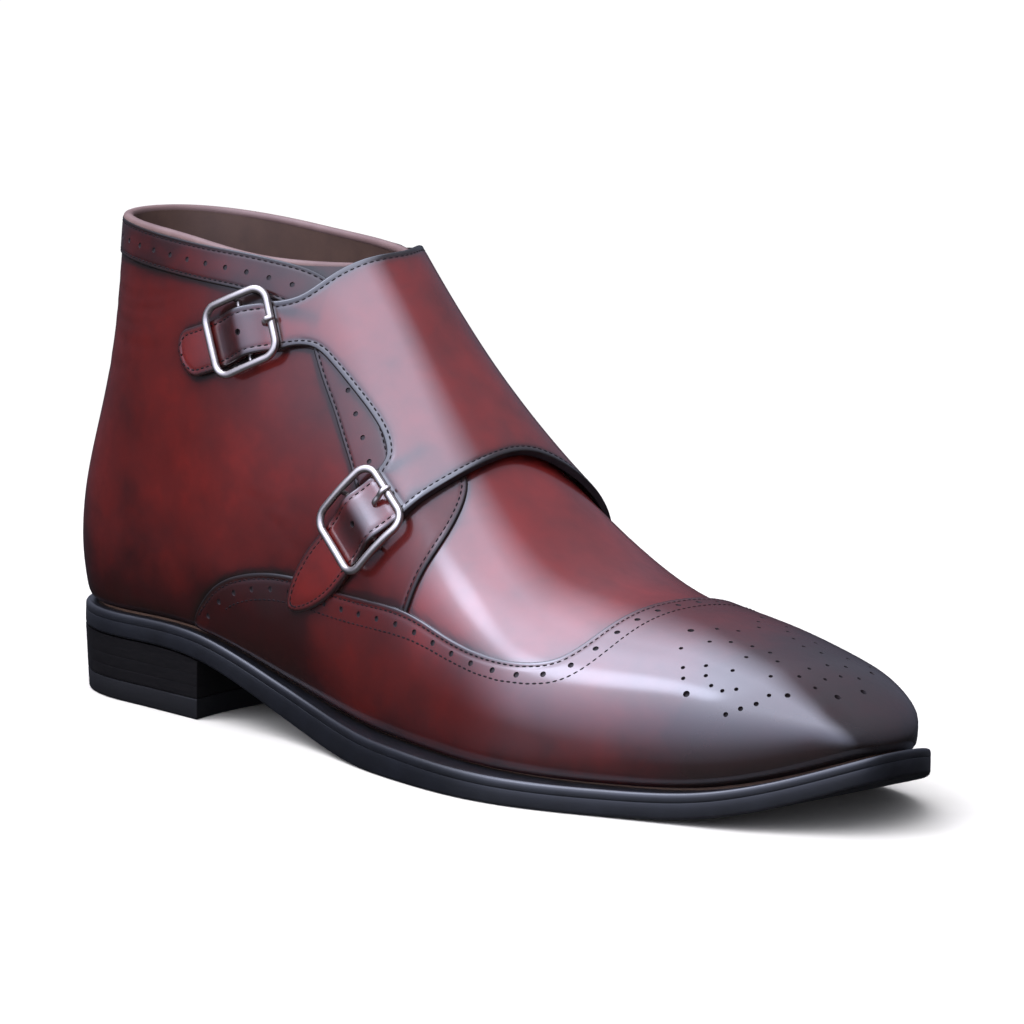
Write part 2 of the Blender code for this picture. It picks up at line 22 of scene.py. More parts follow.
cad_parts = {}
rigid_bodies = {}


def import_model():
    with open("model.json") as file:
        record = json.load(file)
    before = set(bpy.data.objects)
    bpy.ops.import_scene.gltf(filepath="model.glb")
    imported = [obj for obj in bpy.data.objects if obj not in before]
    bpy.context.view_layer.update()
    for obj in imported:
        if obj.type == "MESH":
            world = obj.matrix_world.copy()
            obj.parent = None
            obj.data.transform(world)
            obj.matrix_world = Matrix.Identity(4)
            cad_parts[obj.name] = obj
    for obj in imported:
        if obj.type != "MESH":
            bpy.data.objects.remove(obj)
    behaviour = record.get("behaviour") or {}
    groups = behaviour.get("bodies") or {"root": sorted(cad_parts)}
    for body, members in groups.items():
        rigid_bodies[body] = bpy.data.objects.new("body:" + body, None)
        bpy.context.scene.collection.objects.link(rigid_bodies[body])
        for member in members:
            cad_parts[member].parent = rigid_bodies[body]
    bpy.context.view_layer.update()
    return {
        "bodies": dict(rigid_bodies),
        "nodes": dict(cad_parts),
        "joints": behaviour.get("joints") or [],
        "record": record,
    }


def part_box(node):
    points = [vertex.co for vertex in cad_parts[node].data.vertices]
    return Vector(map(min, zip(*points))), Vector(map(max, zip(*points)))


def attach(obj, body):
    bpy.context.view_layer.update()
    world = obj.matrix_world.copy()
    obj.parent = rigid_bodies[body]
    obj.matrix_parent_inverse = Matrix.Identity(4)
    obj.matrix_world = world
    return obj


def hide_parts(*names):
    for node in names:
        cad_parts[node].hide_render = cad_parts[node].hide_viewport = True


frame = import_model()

MM = 0.001
TINY = 1e-9
LOG = logging.getLogger("ankle_boot")
Array = np.ndarray
Places = tuple[tuple[float, float], ...]


class Side(Enum):
    """The two sides of the foot, by the sign of Y."""

    LATERAL = -1
    MEDIAL = 1


class Edge(Enum):
    """The four edges of a panel's grid: its first and last row, and its first and last column."""

    START = "start"
    FINISH = "finish"
    LEFT = "left"
    RIGHT = "right"


WHOLE = (0.0, 1.0)


# ---- Small maths -----------------------------


def smooth(t: Array) -> Array:
    """Returns a soft step from 0 to 1 as t goes from 0 to 1."""
    t = np.clip(t, 0.0, 1.0)
    return t * t * (3 - 2 * t)


def rounding(t: Array, power: Array) -> Array:
    """Returns a quarter of a superellipse: 1 at t = 0, falling to 0 at t = 1."""
    return np.maximum(1 - np.clip(t, 0, 1) ** power, 0) ** (1 / power)


def ease(count: int, start: bool = True, end: bool = True) -> Array:
    """Gives shares that crowd towards an end where the last turns edge-on.

    Args:
        count: How many shares.
        start: Crowd towards 0.
        end: Crowd towards 1.

    Returns:
        Shares from 0 to 1.
    """
    t = np.linspace(0, 1, count)
    if start and end:
        return (1 - np.cos(math.pi * t)) / 2
    return 1 - np.cos(t * math.pi / 2) if start else np.sin(t * math.pi / 2)


def unit(vectors: Array) -> Array:
    """Returns vectors brought to a length of 1."""
    return vectors / np.maximum(np.linalg.norm(vectors, axis=-1, keepdims=True), TINY)


def run_along(line: Array) -> Array:
    """Returns how far along a polyline each of its points lies."""
    return np.concatenate([[0], np.cumsum(np.linalg.norm(np.diff(line, axis=0), axis=1))])


def resample(line: Array, pitch: float) -> Array:
    """Walks along a polyline at an even pitch.

    Args:
        line: Points (n, 3).
        pitch: Distance between two results in mm.

    Returns:
        Points (m, 3), evenly apart, with both ends.
    """
    run = run_along(line)
    count = max(int(round(run[-1] / pitch)), 1) + 1
    at = np.linspace(0, run[-1], count)
    return np.stack([np.interp(at, run, line[:, k]) for k in range(3)], axis=-1)


class Curve:
    """A natural cubic through the rows of a table, held level past both ends."""

    def __init__(self, xs: Sequence[float], ys: Sequence[float]) -> None:
        """Solves the curve's bends from its knots.

        Args:
            xs: Where the knots stand, rising.
            ys: The curve's values there.
        """
        self.xs, self.ys = np.asarray(xs, float), np.asarray(ys, float)
        step = np.diff(self.xs)
        slope = np.diff(self.ys) / step
        system, bend = np.eye(len(self.xs)), np.zeros(len(self.xs))
        for i in range(1, len(self.xs) - 1):
            system[i, i - 1:i + 2] = step[i - 1], 2 * (step[i - 1] + step[i]), step[i]
            bend[i] = 6 * (slope[i] - slope[i - 1])
        self.bend = np.linalg.solve(system, bend)

    def __call__(self, x: Array) -> Array:
        """Reads the curve.

        Args:
            x: Places along it, of any shape.

        Returns:
            The curve's values there.
        """
        x = np.clip(np.asarray(x, float), self.xs[0], self.xs[-1])
        i = np.clip(np.searchsorted(self.xs, x) - 1, 0, len(self.xs) - 2)
        left, right = self.xs[i], self.xs[i + 1]
        h = right - left
        a, b = (right - x) / h, (x - left) / h
        cubic = (a ** 3 - a) * self.bend[i] + (b ** 3 - b) * self.bend[i + 1]
        return a * self.ys[i] + b * self.ys[i + 1] + cubic * h * h / 6


def curves(columns: Sequence[str], rows: Sequence[Sequence[float]]) -> dict[str, Curve]:
    """Returns one Curve for each named column of a table, over its first column."""
    table = np.asarray(rows, float)
    return {name: Curve(table[:, 0], table[:, k + 1]) for k, name in enumerate(columns[1:])}


def along(points: Sequence[Sequence[float]], t: Array) -> Array:
    """Gives places along a smooth curve through a short row of points.

    Args:
        points: Rows of two or three numbers.
        t: Shares of the curve's length, of any shape.

    Returns:
        An array of t's shape with one more axis, for the coordinates.
    """
    row = np.asarray(points, float)
    run = run_along(row)
    run /= run[-1]
    return np.stack([Curve(run, row[:, k])(t) for k in range(row.shape[1])], axis=-1)


# ---- The last --------------------------------


@dataclass
class Last:
    """The form that the upper, the welt and the sole all follow."""

    length: float = 298.0
    throat: float = 118.0
    heel_top: float = 14.0
    spread: float = 60.0
    heel_round: tuple[float, float] = (36.0, 2.1)
    toe_round: tuple[float, float] = (262.0, 2.1)
    toe_drop: tuple[float, float] = (271.0, 2.2)
    toe_y: float = -1.0
    welt: float = 2.5
    gap: float = 0.3
    spine: tuple[float, float] = (34.0, 268.0)
    shift: Array = field(default_factory=lambda: np.zeros(3))

    SECTION_COLUMNS = ("x", "feather_lat", "feather_med", "body_lat", "body_med", "rise", "ridge_y", "round")
    SECTIONS = (
        (0, 31, 31, 33, 33, 22, 0, 2.20),
        (35, 30.5, 30.5, 33.5, 33.5, 22, 0, 2.30),
        (75, 33, 29, 37, 37, 24, 0, 2.50),
        (115, 34, 27.5, 38, 33, 24, 0, 2.00),
        (150, 40.5, 30.5, 42.5, 36, 20, 0.5, 2.00),
        (180, 46, 37.5, 46.2, 45, 15, 1, 2.05),
        (205, 47.5, 42.5, 47.8, 48, 12, 1, 2.15),
        (230, 42, 42.5, 42.8, 45.5, 10, 0.5, 2.20),
        (262, 31, 37.5, 32.5, 38, 8, -1, 2.40),
        (298, 20, 30, 21, 30.5, 7, -1, 2.50),
    )
    SOLE_COLUMNS = ("x", "z", "thick", "ledge_lat", "ledge_med")
    SOLE = (
        (0, 19, 4.5, 1.6, 1.6),
        (40, 18.7, 4.5, 1.6, 1.6),
        (73, 17, 5, 1.8, 1.7),
        (105, 8, 6.2, 3.2, 2),
        (135, 1.5, 6.8, 5.2, 2.6),
        (155, 0, 6.4, 6.6, 3.4),
        (190, 0, 5.2, 7.2, 4.4),
        (220, 0, 4.6, 6, 4.6),
        (240, 0.3, 4.5, 4.8, 4.6),
        (262, 1.8, 4.5, 4.5, 4.5),
        (285, 7.5, 4.5, 4.5, 4.5),
        (304, 15, 4.5, 4.5, 4.5),
    )
    RIDGE = (
        (0, 235), (60, 180), (104, 145.5), (140, 107), (172, 75.5),
        (200, 55.5), (225, 49), (250, 45.3), (275, 39), (298, 33),
    )
    HEEL_BACK = ((20, 2.5), (30, 1.0), (45, 0.0), (60, 1.5), (80, 7.0), (100, 12.0), (120, 14.0), (140, 14.5))
    COLLAR_COLUMNS = ("x", "lateral", "medial")
    COLLAR = ((14, 139.5, 139.5), (40, 138.0, 136.3), (65, 135.6, 133.8), (90, 132.2, 132.4),
              (118, 131.2, 131.2))

    def __post_init__(self) -> None:
        """Draws the curves of the tables, and finds the way from the last's place to the frame's."""
        self.section = curves(self.SECTION_COLUMNS, self.SECTIONS)
        self.sole = curves(self.SOLE_COLUMNS, self.SOLE)
        self.ridge_line = curves(("x", "z"), self.RIDGE)["z"]
        self.back = curves(("z", "x"), self.HEEL_BACK)["x"]
        self.collar_line = curves(self.COLLAR_COLUMNS, self.COLLAR)
        low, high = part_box("outsole")
        outline = self.outline(64)[0]
        middle = (outline.min(axis=0) + outline.max(axis=0)) / 2
        self.shift = np.array([(low.x + high.x) / 2 / MM - middle[0],
                               (low.y + high.y) / 2 / MM - middle[1], 0.0])

    def underside(self, x: Array) -> Array:
        """Returns the height of the outsole's underside."""
        return np.maximum(self.sole["z"](x), 0.0)

    def sole_top(self, x: Array) -> Array:
        """Returns the height of the outsole's upper face."""
        return self.underside(x) + self.sole["thick"](x)

    def feather(self, x: Array) -> Array:
        """Returns the height where the upper meets the welt."""
        return self.sole_top(x) + self.welt + 2 * self.gap

    def ridge(self, x: Array) -> Array:
        """Gives the height of the ridge over toe and instep.

        Args:
            x: Stations along the foot.

        Returns:
            Heights.
        """
        start, power = self.toe_drop
        drop = rounding((np.asarray(x, float) - start) / (self.length - start), power)
        return self.feather(x) + (self.ridge_line(x) - self.feather(x)) * drop

    def collar(self, side: Side, x: Array) -> Array:
        """Returns the height of the top edge on one side."""
        return self.collar_line[side.name.lower()](x)

    def half_y(self, side: Side, x: Array, z: Array) -> Array:
        """Gives the sideways place of the last's surface on one side.

        Args:
            side: Which side.
            x: Stations along the foot.
            z: Heights.

        Returns:
            Y in mm.
        """
        x, z = np.asarray(x, float), np.asarray(z, float)
        tag = "lat" if side is Side.LATERAL else "med"
        low, body = self.section["feather_" + tag](x), self.section["body_" + tag](x)
        foot, top = self.feather(x), self.ridge(x)
        rise = np.minimum(self.section["rise"](x), 0.45 * (top - foot))
        wide = foot + rise
        climb = np.clip((z - foot) / np.maximum(rise, 1e-6), 0, 1)
        half = np.where(z < wide, low + (body - low) * np.sin(climb * math.pi / 2), body)
        arch = rounding((z - wide) / np.maximum(top - wide, 1e-6), self.section["round"](x))
        toe = rounding((x - self.toe_round[0]) / (self.length - self.toe_round[0]), self.toe_round[1])
        edge = self.toe_y + (side.value * half - self.toe_y) * toe
        centre = self.toe_y + (self.section["ridge_y"](x) - self.toe_y) * toe
        heel = rounding(1 - np.clip((x - self.back(z)) / self.heel_round[0], 0, 1), self.heel_round[1])
        return (centre + (edge - centre) * arch) * heel

    def lay(self, side: Side, xz: Array) -> Array:
        """Returns the surface points of side-view places (..., 2)."""
        x, z = xz[..., 0], xz[..., 1]
        return np.stack([x, self.half_y(side, x, z), z], axis=-1)

    def chart(self, side: Side, xz: Sequence[Sequence[float]]) -> Array:
        """Turns side-view places into chart places, which run on over the ridge.

        Args:
            side: The side that the places lie on.
            xz: Rows of x and z.

        Returns:
            Rows of x and w: w is 0 on the ridge and spread at the feather line, with the side's sign.
        """
        row = np.asarray(xz, float)
        top, foot = self.ridge(row[..., 0]), self.feather(row[..., 0])
        share = np.sqrt(np.clip((top - row[..., 1]) / np.maximum(top - foot, 1e-6), 0, 1))
        return np.stack([row[..., 0], side.value * share * self.spread], axis=-1)

    def from_chart(self, places: Array) -> Array:
        """Turns chart places back into points.

        Args:
            places: Rows of x and w (..., 2).

        Returns:
            Points on the last's surface (..., 3).
        """
        x, share = places[..., 0], places[..., 1] / self.spread
        z = self.ridge(x) - share ** 2 * (self.ridge(x) - self.feather(x))
        y = np.where(share < 0, self.half_y(Side.LATERAL, x, z), self.half_y(Side.MEDIAL, x, z))
        return np.stack([x, y, z], axis=-1)

    def outline(self, columns: int, inset: Optional[float] = None) -> tuple[Array, Array]:
        """Draws the plan of the sole, or of the feather line drawn in.

        Args:
            columns: How many steps along each side.
            inset: How far inside the feather line, or None for the sole's own edge.

        Returns:
            The loop (n, 2) and the middle place that each of its points faces.
        """
        start = float(self.back(self.feather(0.0)))
        x = start + (self.length - start) * ease(columns + 1)
        sides = [np.stack([x, self.half_y(side, x, self.feather(x))], axis=-1) for side in Side]
        loop = np.concatenate([sides[0], sides[1][-2:0:-1]])
        middle_x = np.clip(x, *self.spine)
        middle = np.stack([middle_x, 0.5 * (np.interp(middle_x, x, sides[0][:, 1])
                                            + np.interp(middle_x, x, sides[1][:, 1]))], axis=-1)
        middle = np.concatenate([middle, middle[-2:0:-1]])
        tangent = np.roll(loop, -1, axis=0) - np.roll(loop, 1, axis=0)
        outward = unit(np.stack([tangent[:, 1], -tangent[:, 0]], axis=-1))
        if inset is None:
            lateral = np.arange(len(loop)) <= columns
            step = np.where(lateral, self.sole["ledge_lat"](loop[:, 0]), self.sole["ledge_med"](loop[:, 0]))
        else:
            step = np.full(len(loop), -inset)
        return loop + outward * step[:, None], middle

    def ridge_run(self, x_from: float, x_to: float, t: Array) -> Array:
        """Gives side-view places along the ridge between two stations, evenly by length.

        Args:
            x_from: Station at share 0.
            x_to: Station at share 1.
            t: Shares.

        Returns:
            Rows of x and z.
        """
        dense = x_from + (x_to - x_from) * ease(400)
        run = np.concatenate([[0], np.cumsum(np.hypot(np.diff(dense), np.diff(self.ridge(dense))))])
        x = np.interp(t * run[-1], run, dense)
        return np.stack([x, self.ridge(x)], axis=-1)

    def foot_run(self, start: float, end: float, u: Array) -> Array:
        """Returns the side-view places at shares u of the feather line between two stations."""
        x = start + (end - start) * u
        return np.stack([x, self.feather(x)], axis=-1)

    def collar_run(self, side: Side, height: float, u: Array) -> Array:
        """Returns the side-view places at shares u of the top edge, from a height on the back line."""
        x = self.back(height) + (self.throat - self.back(height)) * u
        return np.stack([x, self.collar(side, x)], axis=-1)

    def heel_run(self, low: float, high: float, t: Array) -> Array:
        """Returns the side-view places at shares t of the back line between two heights."""
        z = low + (high - low) * t
        return np.stack([self.back(z), z], axis=-1)


# ---- Mesh work -------------------------------


def select_only(obj: Object) -> None:
    """Makes one object the only selected one, and the active one."""
    bpy.ops.object.select_all(action="DESELECT")
    obj.select_set(True)
    bpy.context.view_layer.objects.active = obj


def apply_modifiers(obj: Object) -> None:
    """Applies all of an object's modifiers, top to bottom."""
    select_only(obj)
    for modifier in list(obj.modifiers):
        bpy.ops.object.modifier_apply(modifier=modifier.name)


def grid_piece(name: str, points: Array, closed: bool = False) -> Object:
    """Adds a grid primitive and lays its vertices on a surface.

    Args:
        name: The piece's name.
        points: Rows and columns of places in mm, on the last.
        closed: True where the last column meets the first, or rows run into a point.

    Returns:
        The new object, with its place in its mesh.
    """
    rows, columns = points.shape[:2]
    bpy.ops.object.select_all(action="DESELECT")
    bpy.ops.mesh.primitive_grid_add(x_subdivisions=columns - 1, y_subdivisions=rows - 1, size=2)
    piece = bpy.context.object
    piece.name = piece.data.name = name
    move_mesh(piece, points.reshape(-1, 3))
    if closed:
        bpy.ops.object.mode_set(mode="EDIT")
        bpy.ops.mesh.select_all(action="SELECT")
        bpy.ops.mesh.remove_doubles(threshold=0.02 * MM)
        bpy.ops.object.mode_set(mode="OBJECT")
    return piece


def thicken(piece: Object, thickness: float, finishes: Sequence[str]) -> None:
    """Gives a surface its thickness, inwards from the drawn side.

    Args:
        piece: The surface.
        thickness: Wall in mm.
        finishes: Names of its finishes; the last one goes on the cut edge.
    """
    for name in finishes:
        piece.data.materials.append(bpy.data.materials[name])
    wall = piece.modifiers.new("wall", "SOLIDIFY")
    wall.thickness, wall.offset, wall.use_even_offset = thickness * MM, -1, False
    wall.material_offset_rim = len(finishes) - 1
    apply_modifiers(piece)


def soften(piece: Object, degrees: float) -> None:
    """Shades a piece smooth, with edges sharper than an angle kept crisp."""
    select_only(piece)
    bpy.ops.object.shade_smooth_by_angle(angle=math.radians(degrees))


def grid_normals(points: Array) -> Array:
    """Returns unit normals of a grid of points, columns turning to rows."""
    return unit(np.cross(np.gradient(points, axis=1), np.gradient(points, axis=0)))


def edge_lines(points: Array, edges: dict[Edge, tuple[float, float]]) -> list[Array]:
    """Picks stretches of a grid's edges.

    Args:
        points: The grid (rows, columns, 3).
        edges: The first and last share of each chosen edge.

    Returns:
        Dense polylines.
    """
    every = {Edge.START: points[0], Edge.FINISH: points[-1],
             Edge.LEFT: points[:, 0], Edge.RIGHT: points[:, -1]}
    lines = []
    for edge, (first, last) in edges.items():
        count = len(every[edge]) - 1
        lines.append(resample(every[edge][int(round(first * count)):int(round(last * count)) + 1], 0.12))
    return lines


def search_tree(places: Array) -> KDTree:
    """Sorts points for a quick search.

    Args:
        places: Points (n, 3).

    Returns:
        The search tree.
    """
    tree = KDTree(len(places))
    for k, place in enumerate(places):
        tree.insert(place, k)
    tree.balance()
    return tree


def distance_to(points: Array, lines: Sequence[Array]) -> Array:
    """Measures how far points lie from the nearest of some polylines.

    Args:
        points: Places (..., 3).
        lines: Dense polylines.

    Returns:
        Distances in mm, shaped as the places.
    """
    if not lines:
        return np.full(points.shape[:-1], 1e3)
    tree = search_tree(np.concatenate(lines))
    flat = [tree.find(place)[2] for place in points.reshape(-1, 3)]
    return np.asarray(flat).reshape(points.shape[:-1])


def mesh_places(piece: Object) -> Array:
    """Reads a mesh.

    Args:
        piece: The piece.

    Returns:
        Its vertices (n, 3), in mm on the last.
    """
    places = np.zeros(len(piece.data.vertices) * 3, np.float32)
    piece.data.vertices.foreach_get("co", places)
    return places.reshape(-1, 3).astype(float) / MM - LAST.shift


def move_mesh(piece: Object, places: Array) -> None:
    """Puts a mesh's vertices at places (n, 3), in mm on the last."""
    piece.data.vertices.foreach_set("co", ((places + LAST.shift) * MM).astype(np.float32).ravel())
    piece.data.update()


def snap(tree: BVHTree, line: Array) -> tuple[Array, Array]:
    """Returns the points of a surface nearest to a polyline, and the surface's normals there."""
    found = [tree.find_nearest(Vector(p)) for p in line]
    return np.array([f[0] for f in found]), np.array([f[1] for f in found])


def offset_line(line: Array, inside: Array, tree: BVHTree, distance: float, trim: float = 0.0) -> Array:
    """Runs a line beside an edge, over a panel's surface.

    Args:
        line: The edge, as a dense polyline.
        inside: A polyline on the panel's side of the edge, point for point.
        tree: The panel's surface.
        distance: How far in from the edge.
        trim: Length left out at both ends.

    Returns:
        The line on the surface.
    """
    inward = inside - line
    tangent = unit(np.gradient(line, axis=0))
    inward = unit(inward - tangent * np.sum(inward * tangent, axis=1, keepdims=True))
    for _ in range(12):
        inward[1:-1] = (inward[:-2] + inward[1:-1] + inward[2:]) / 3
        inward = unit(inward)
    moved, _ = snap(tree, line + inward * distance)
    if trim:
        pitch = 0.4
        moved = resample(moved, pitch)
        keep = int(trim / pitch)
        moved = moved[keep:len(moved) - keep]
    return moved


def copies(name: str, shape: Array, faces: Sequence[tuple[int, ...]], at: Array, forward: Array,
           up: Array) -> Object:
    """Makes one piece of many copies of a small shape.

    Args:
        name: The piece's name.
        shape: The shape's vertices (n, 3): forward, sideways and up, in mm.
        faces: Its faces.
        at: Places (m, 3) in mm on the last.
        forward: Forward directions at the places.
        up: Up directions at the places.

    Returns:
        The new object.
    """
    up = unit(up)
    forward = unit(forward - up * np.sum(forward * up, axis=1, keepdims=True))
    places = at[:, None]
    for k, way in enumerate((forward, np.cross(up, forward), up)):
        places = places + shape[None, :, k, None] * way[:, None]
    every = [tuple(k + len(shape) * m for k in face) for m in range(len(at)) for face in faces]
    mesh = bpy.data.meshes.new(name)
    mesh.from_pydata(((places.reshape(-1, 3) + LAST.shift) * MM).tolist(), [], every)
    piece = bpy.data.objects.new(name, mesh)
    bpy.context.scene.collection.objects.link(piece)
    return piece


def template(primitive: Callable[..., object], **sizes: object) -> tuple[Array, list[tuple[int, ...]]]:
    """Takes the vertices and faces of a primitive, which is then removed.

    Args:
        primitive: The operator that adds it.
        sizes: The operator's settings, in mm.

    Returns:
        Vertices (n, 3) and faces.
    """
    bpy.ops.object.select_all(action="DESELECT")
    primitive(**sizes)
    made = bpy.context.object
    places = np.array([v.co for v in made.data.vertices])
    faces = [tuple(p.vertices) for p in made.data.polygons]
    bpy.data.objects.remove(made)
    return places, faces


LAST = Last()
NEAR = (0.0, 0.12, 0.3, 0.55, 0.85, 1.15, 1.4, 1.65, 1.9, 2.2, 2.7, 3.4, 4.4)


def graded(length: float, step: float, start: bool, end: bool) -> Array:
    """Spaces lines over a panel, closely beside its free edges.

    Args:
        length: The panel's extent in mm.
        step: Spacing away from the edges.
        start: Close spacing at the first edge.
        end: Close spacing at the last edge.

    Returns:
        Shares from 0 to 1.
    """
    near = np.array(NEAR) * min(1.0, 0.4 * length / NEAR[-1])
    low = near if start else np.array([0.0])
    high = length - (near[::-1] if end else np.array([0.0]))
    count = max(int(round((high[0] - low[-1]) / step)), 1)
    return np.concatenate([low, np.linspace(low[-1], high[0], count + 1)[1:-1], high]) / length


def graded_rows(lengths: Array, rows: int) -> Array:
    """Spaces rows over a panel whose height changes, closely beside its last row.

    Args:
        lengths: The panel's height at each column.
        rows: How many rows.

    Returns:
        Shares (rows, columns).
    """
    near = np.array(NEAR)[:, None] * np.minimum(1.0, 0.5 * lengths / NEAR[-1])[None]
    rest = np.linspace(0, 1, rows - len(near) + 1)[:-1, None] * (lengths - near[-1])[None]
    return np.concatenate([rest, (lengths[None] - near)[::-1]]) / lengths[None]


def fill_in(bottom: Array, top: Array, left: Callable[[Array], Array], right: Callable[[Array], Array],
            u: Array, v: Array, hold: float = 1.0) -> Array:
    """Fills in a panel between four edges that share their corners.

    Args:
        bottom: The first edge at shares u (columns, 2).
        top: The last edge at shares u (columns, 2).
        left: The edge at u = 0, as a function of v.
        right: The edge at u = 1, as a function of v.
        u: Shares of the columns.
        v: Shares of the rows (rows,), or (rows, columns).
        hold: How soon the shapes of the left and right edges are lost inside the panel.

    Returns:
        Places (rows, columns, 2).
    """
    v = np.broadcast_to(v[:, None], (len(v), len(u))) if v.ndim == 1 else v
    a, b = u[None, :, None], v[:, :, None]
    ruled = (1 - b) * bottom[None] + b * top[None]
    first = (1 - a) ** hold * (left(v) - (1 - b) * bottom[0] - b * top[0])
    last = a ** hold * (right(v) - (1 - b) * bottom[-1] - b * top[-1])
    return ruled + first + last


# ---- Leather panels --------------------------


@dataclass
class Thread:
    """Sewing thread: how long its stitches are, and where they run."""

    name: str
    pitch: float = 2.0
    length: float = 1.45
    width: float = 0.52
    height: float = 0.34
    rows: list[tuple[Array, Array, Array]] = field(default_factory=list)

    def sew(self, line: Array, tree: BVHTree) -> None:
        """Lays a row of stitches on a surface.

        Args:
            line: Where the row runs.
            tree: The surface.
        """
        places, normals = snap(tree, resample(line, self.pitch))
        forward = np.gradient(places, axis=0)
        self.rows.append((places[:-1] * 0.5 + places[1:] * 0.5, forward[:-1] + forward[1:], normals[:-1]))

    def build(self) -> Object:
        """Makes every stitch of this thread.

        Returns:
            One piece that holds them all.
        """
        shape, faces = template(bpy.ops.mesh.primitive_uv_sphere_add, segments=6, ring_count=4,
                                radius=1.0, rotation=(0, math.pi / 2, 0))
        shape = shape[:, [2, 1, 0]] * np.array([self.length, self.width, self.height]) / 2
        faces = [face[::-1] for face in faces]
        at, forward, up = (np.concatenate([row[k] for row in self.rows]) for k in range(3))
        piece = copies(self.name, shape, faces, at, forward, up)
        soften(piece, 180)
        return piece


@dataclass
class Panel:
    """One cut piece of leather, laid over the last with its own thickness and turned edges."""

    name: str
    points: Array
    free: dict[Edge, tuple[float, float]]
    top: float
    thickness: float
    edge_radius: float = 0.55
    seam: float = 1.65
    seam_depth: float = 0.13
    groove: float = 0.42
    tuck: bool = False
    tuck_depth: float = 1.6
    tuck_reach: float = 1.3
    extra: Optional[Array] = None
    outward: Optional[Array] = None
    finishes: tuple[str, ...] = ("burnished_calf_leather",)

    def build(self) -> Object:
        """Makes the panel, with its edges turned down and its stitch line sunk.

        Returns:
            The panel as a solid.
        """
        lines = edge_lines(self.points, self.free)
        away = distance_to(self.points, lines)
        height = np.full(away.shape, self.top)
        reach = np.clip(1 - away / self.edge_radius, 0, 1)
        height -= self.edge_radius * (1 - np.sqrt(1 - reach ** 2))
        height -= self.seam_depth * np.exp(-((away - self.seam) / self.groove) ** 2)
        above = self.points[..., 2] - LAST.feather(self.points[..., 0])
        sunk = self.tuck_depth * np.exp(-np.maximum(above, 0) / self.tuck_reach)
        if self.tuck:
            height -= sunk
        if self.extra is not None:
            height += self.extra
        normals = grid_normals(self.points) if self.outward is None else self.outward
        plain = np.full(away.shape, self.top) if self.extra is None else self.top + self.extra
        if self.tuck:
            plain = plain - sunk
        piece = grid_piece(self.name, self.points + normals * plain[..., None])
        faces = [tuple(face.vertices) for face in piece.data.polygons]
        self.laid = self.points + normals * height[..., None]
        SEAMS.extend(lines + edge_lines(self.laid, self.free))
        self.tree = BVHTree.FromPolygons(self.laid.reshape(-1, 3).tolist(), faces)
        before = mesh_places(piece)
        thicken(piece, self.thickness, self.finishes)
        after = mesh_places(piece)
        start = 0 if np.abs(after[:len(before)] - before).max() < 1e-3 else len(before)
        after[start:start + len(before)] = self.laid.reshape(-1, 3)
        move_mesh(piece, after)
        return piece

    def beside(self, edge: Edge, distance: float, first: float = 0.0, last: float = 1.0,
               trim: float = 0.0) -> Array:
        """Runs a line inside one of the panel's edges.

        Args:
            edge: Which edge.
            distance: How far in, in mm.
            first: Share of the edge where the line starts.
            last: Share where it ends.
            trim: Length left out at both ends.

        Returns:
            The line on the panel's face.
        """
        turned = self.laid.transpose(1, 0, 2)
        grid = {Edge.START: self.laid, Edge.FINISH: self.laid[::-1],
                Edge.LEFT: turned, Edge.RIGHT: turned[::-1]}[edge]
        far = np.median(np.linalg.norm(grid - grid[0], axis=2), axis=1) > 2.0
        deep = int(np.argmax(far)) if far.any() else len(grid) - 1
        low, high = int(first * (grid.shape[1] - 1)), int(last * (grid.shape[1] - 1)) + 1
        return offset_line(grid[0, low:high], grid[deep, low:high], self.tree, distance, trim)


PUNCH_TIP, PUNCH_MOUTH, PUNCH_PROUD, PUNCH_TURN = 0.8, 1.1, 0.6, (1.0, 0.13, 0.21)


def punch(piece: Object, tree: BVHTree, near: Array, radius: float, depth: float) -> None:
    """Punches round holes into a piece of leather.

    Args:
        piece: The leather.
        tree: Its face.
        near: Centres (n, 3), close to the face.
        radius: Radius in mm.
        depth: How deep the pits are.
    """
    places, normals = snap(tree, near)
    shape, faces = template(bpy.ops.mesh.primitive_cylinder_add, vertices=12, radius=1.0, depth=2.0)
    shape[:, :2] *= radius * np.where(shape[:, 2:] < 0, PUNCH_TIP, PUNCH_MOUTH)
    shape[:, 2] = np.where(shape[:, 2] > 0, PUNCH_PROUD, -depth)
    cutter = copies("punch", shape, faces, places, np.tile([PUNCH_TURN], (len(places), 1)), normals)
    # The pits' walls and floors take a near-black finish: painted shade for the dark inside each hole.
    cutter.data.materials.append(bpy.data.materials["painted_hole_shade"])
    cut = piece.modifiers.new("holes", "BOOLEAN")
    cut.operation, cut.object, cut.solver, cut.material_mode = "DIFFERENCE", cutter, "MANIFOLD", "TRANSFER"
    apply_modifiers(piece)
    bpy.data.objects.remove(cutter)


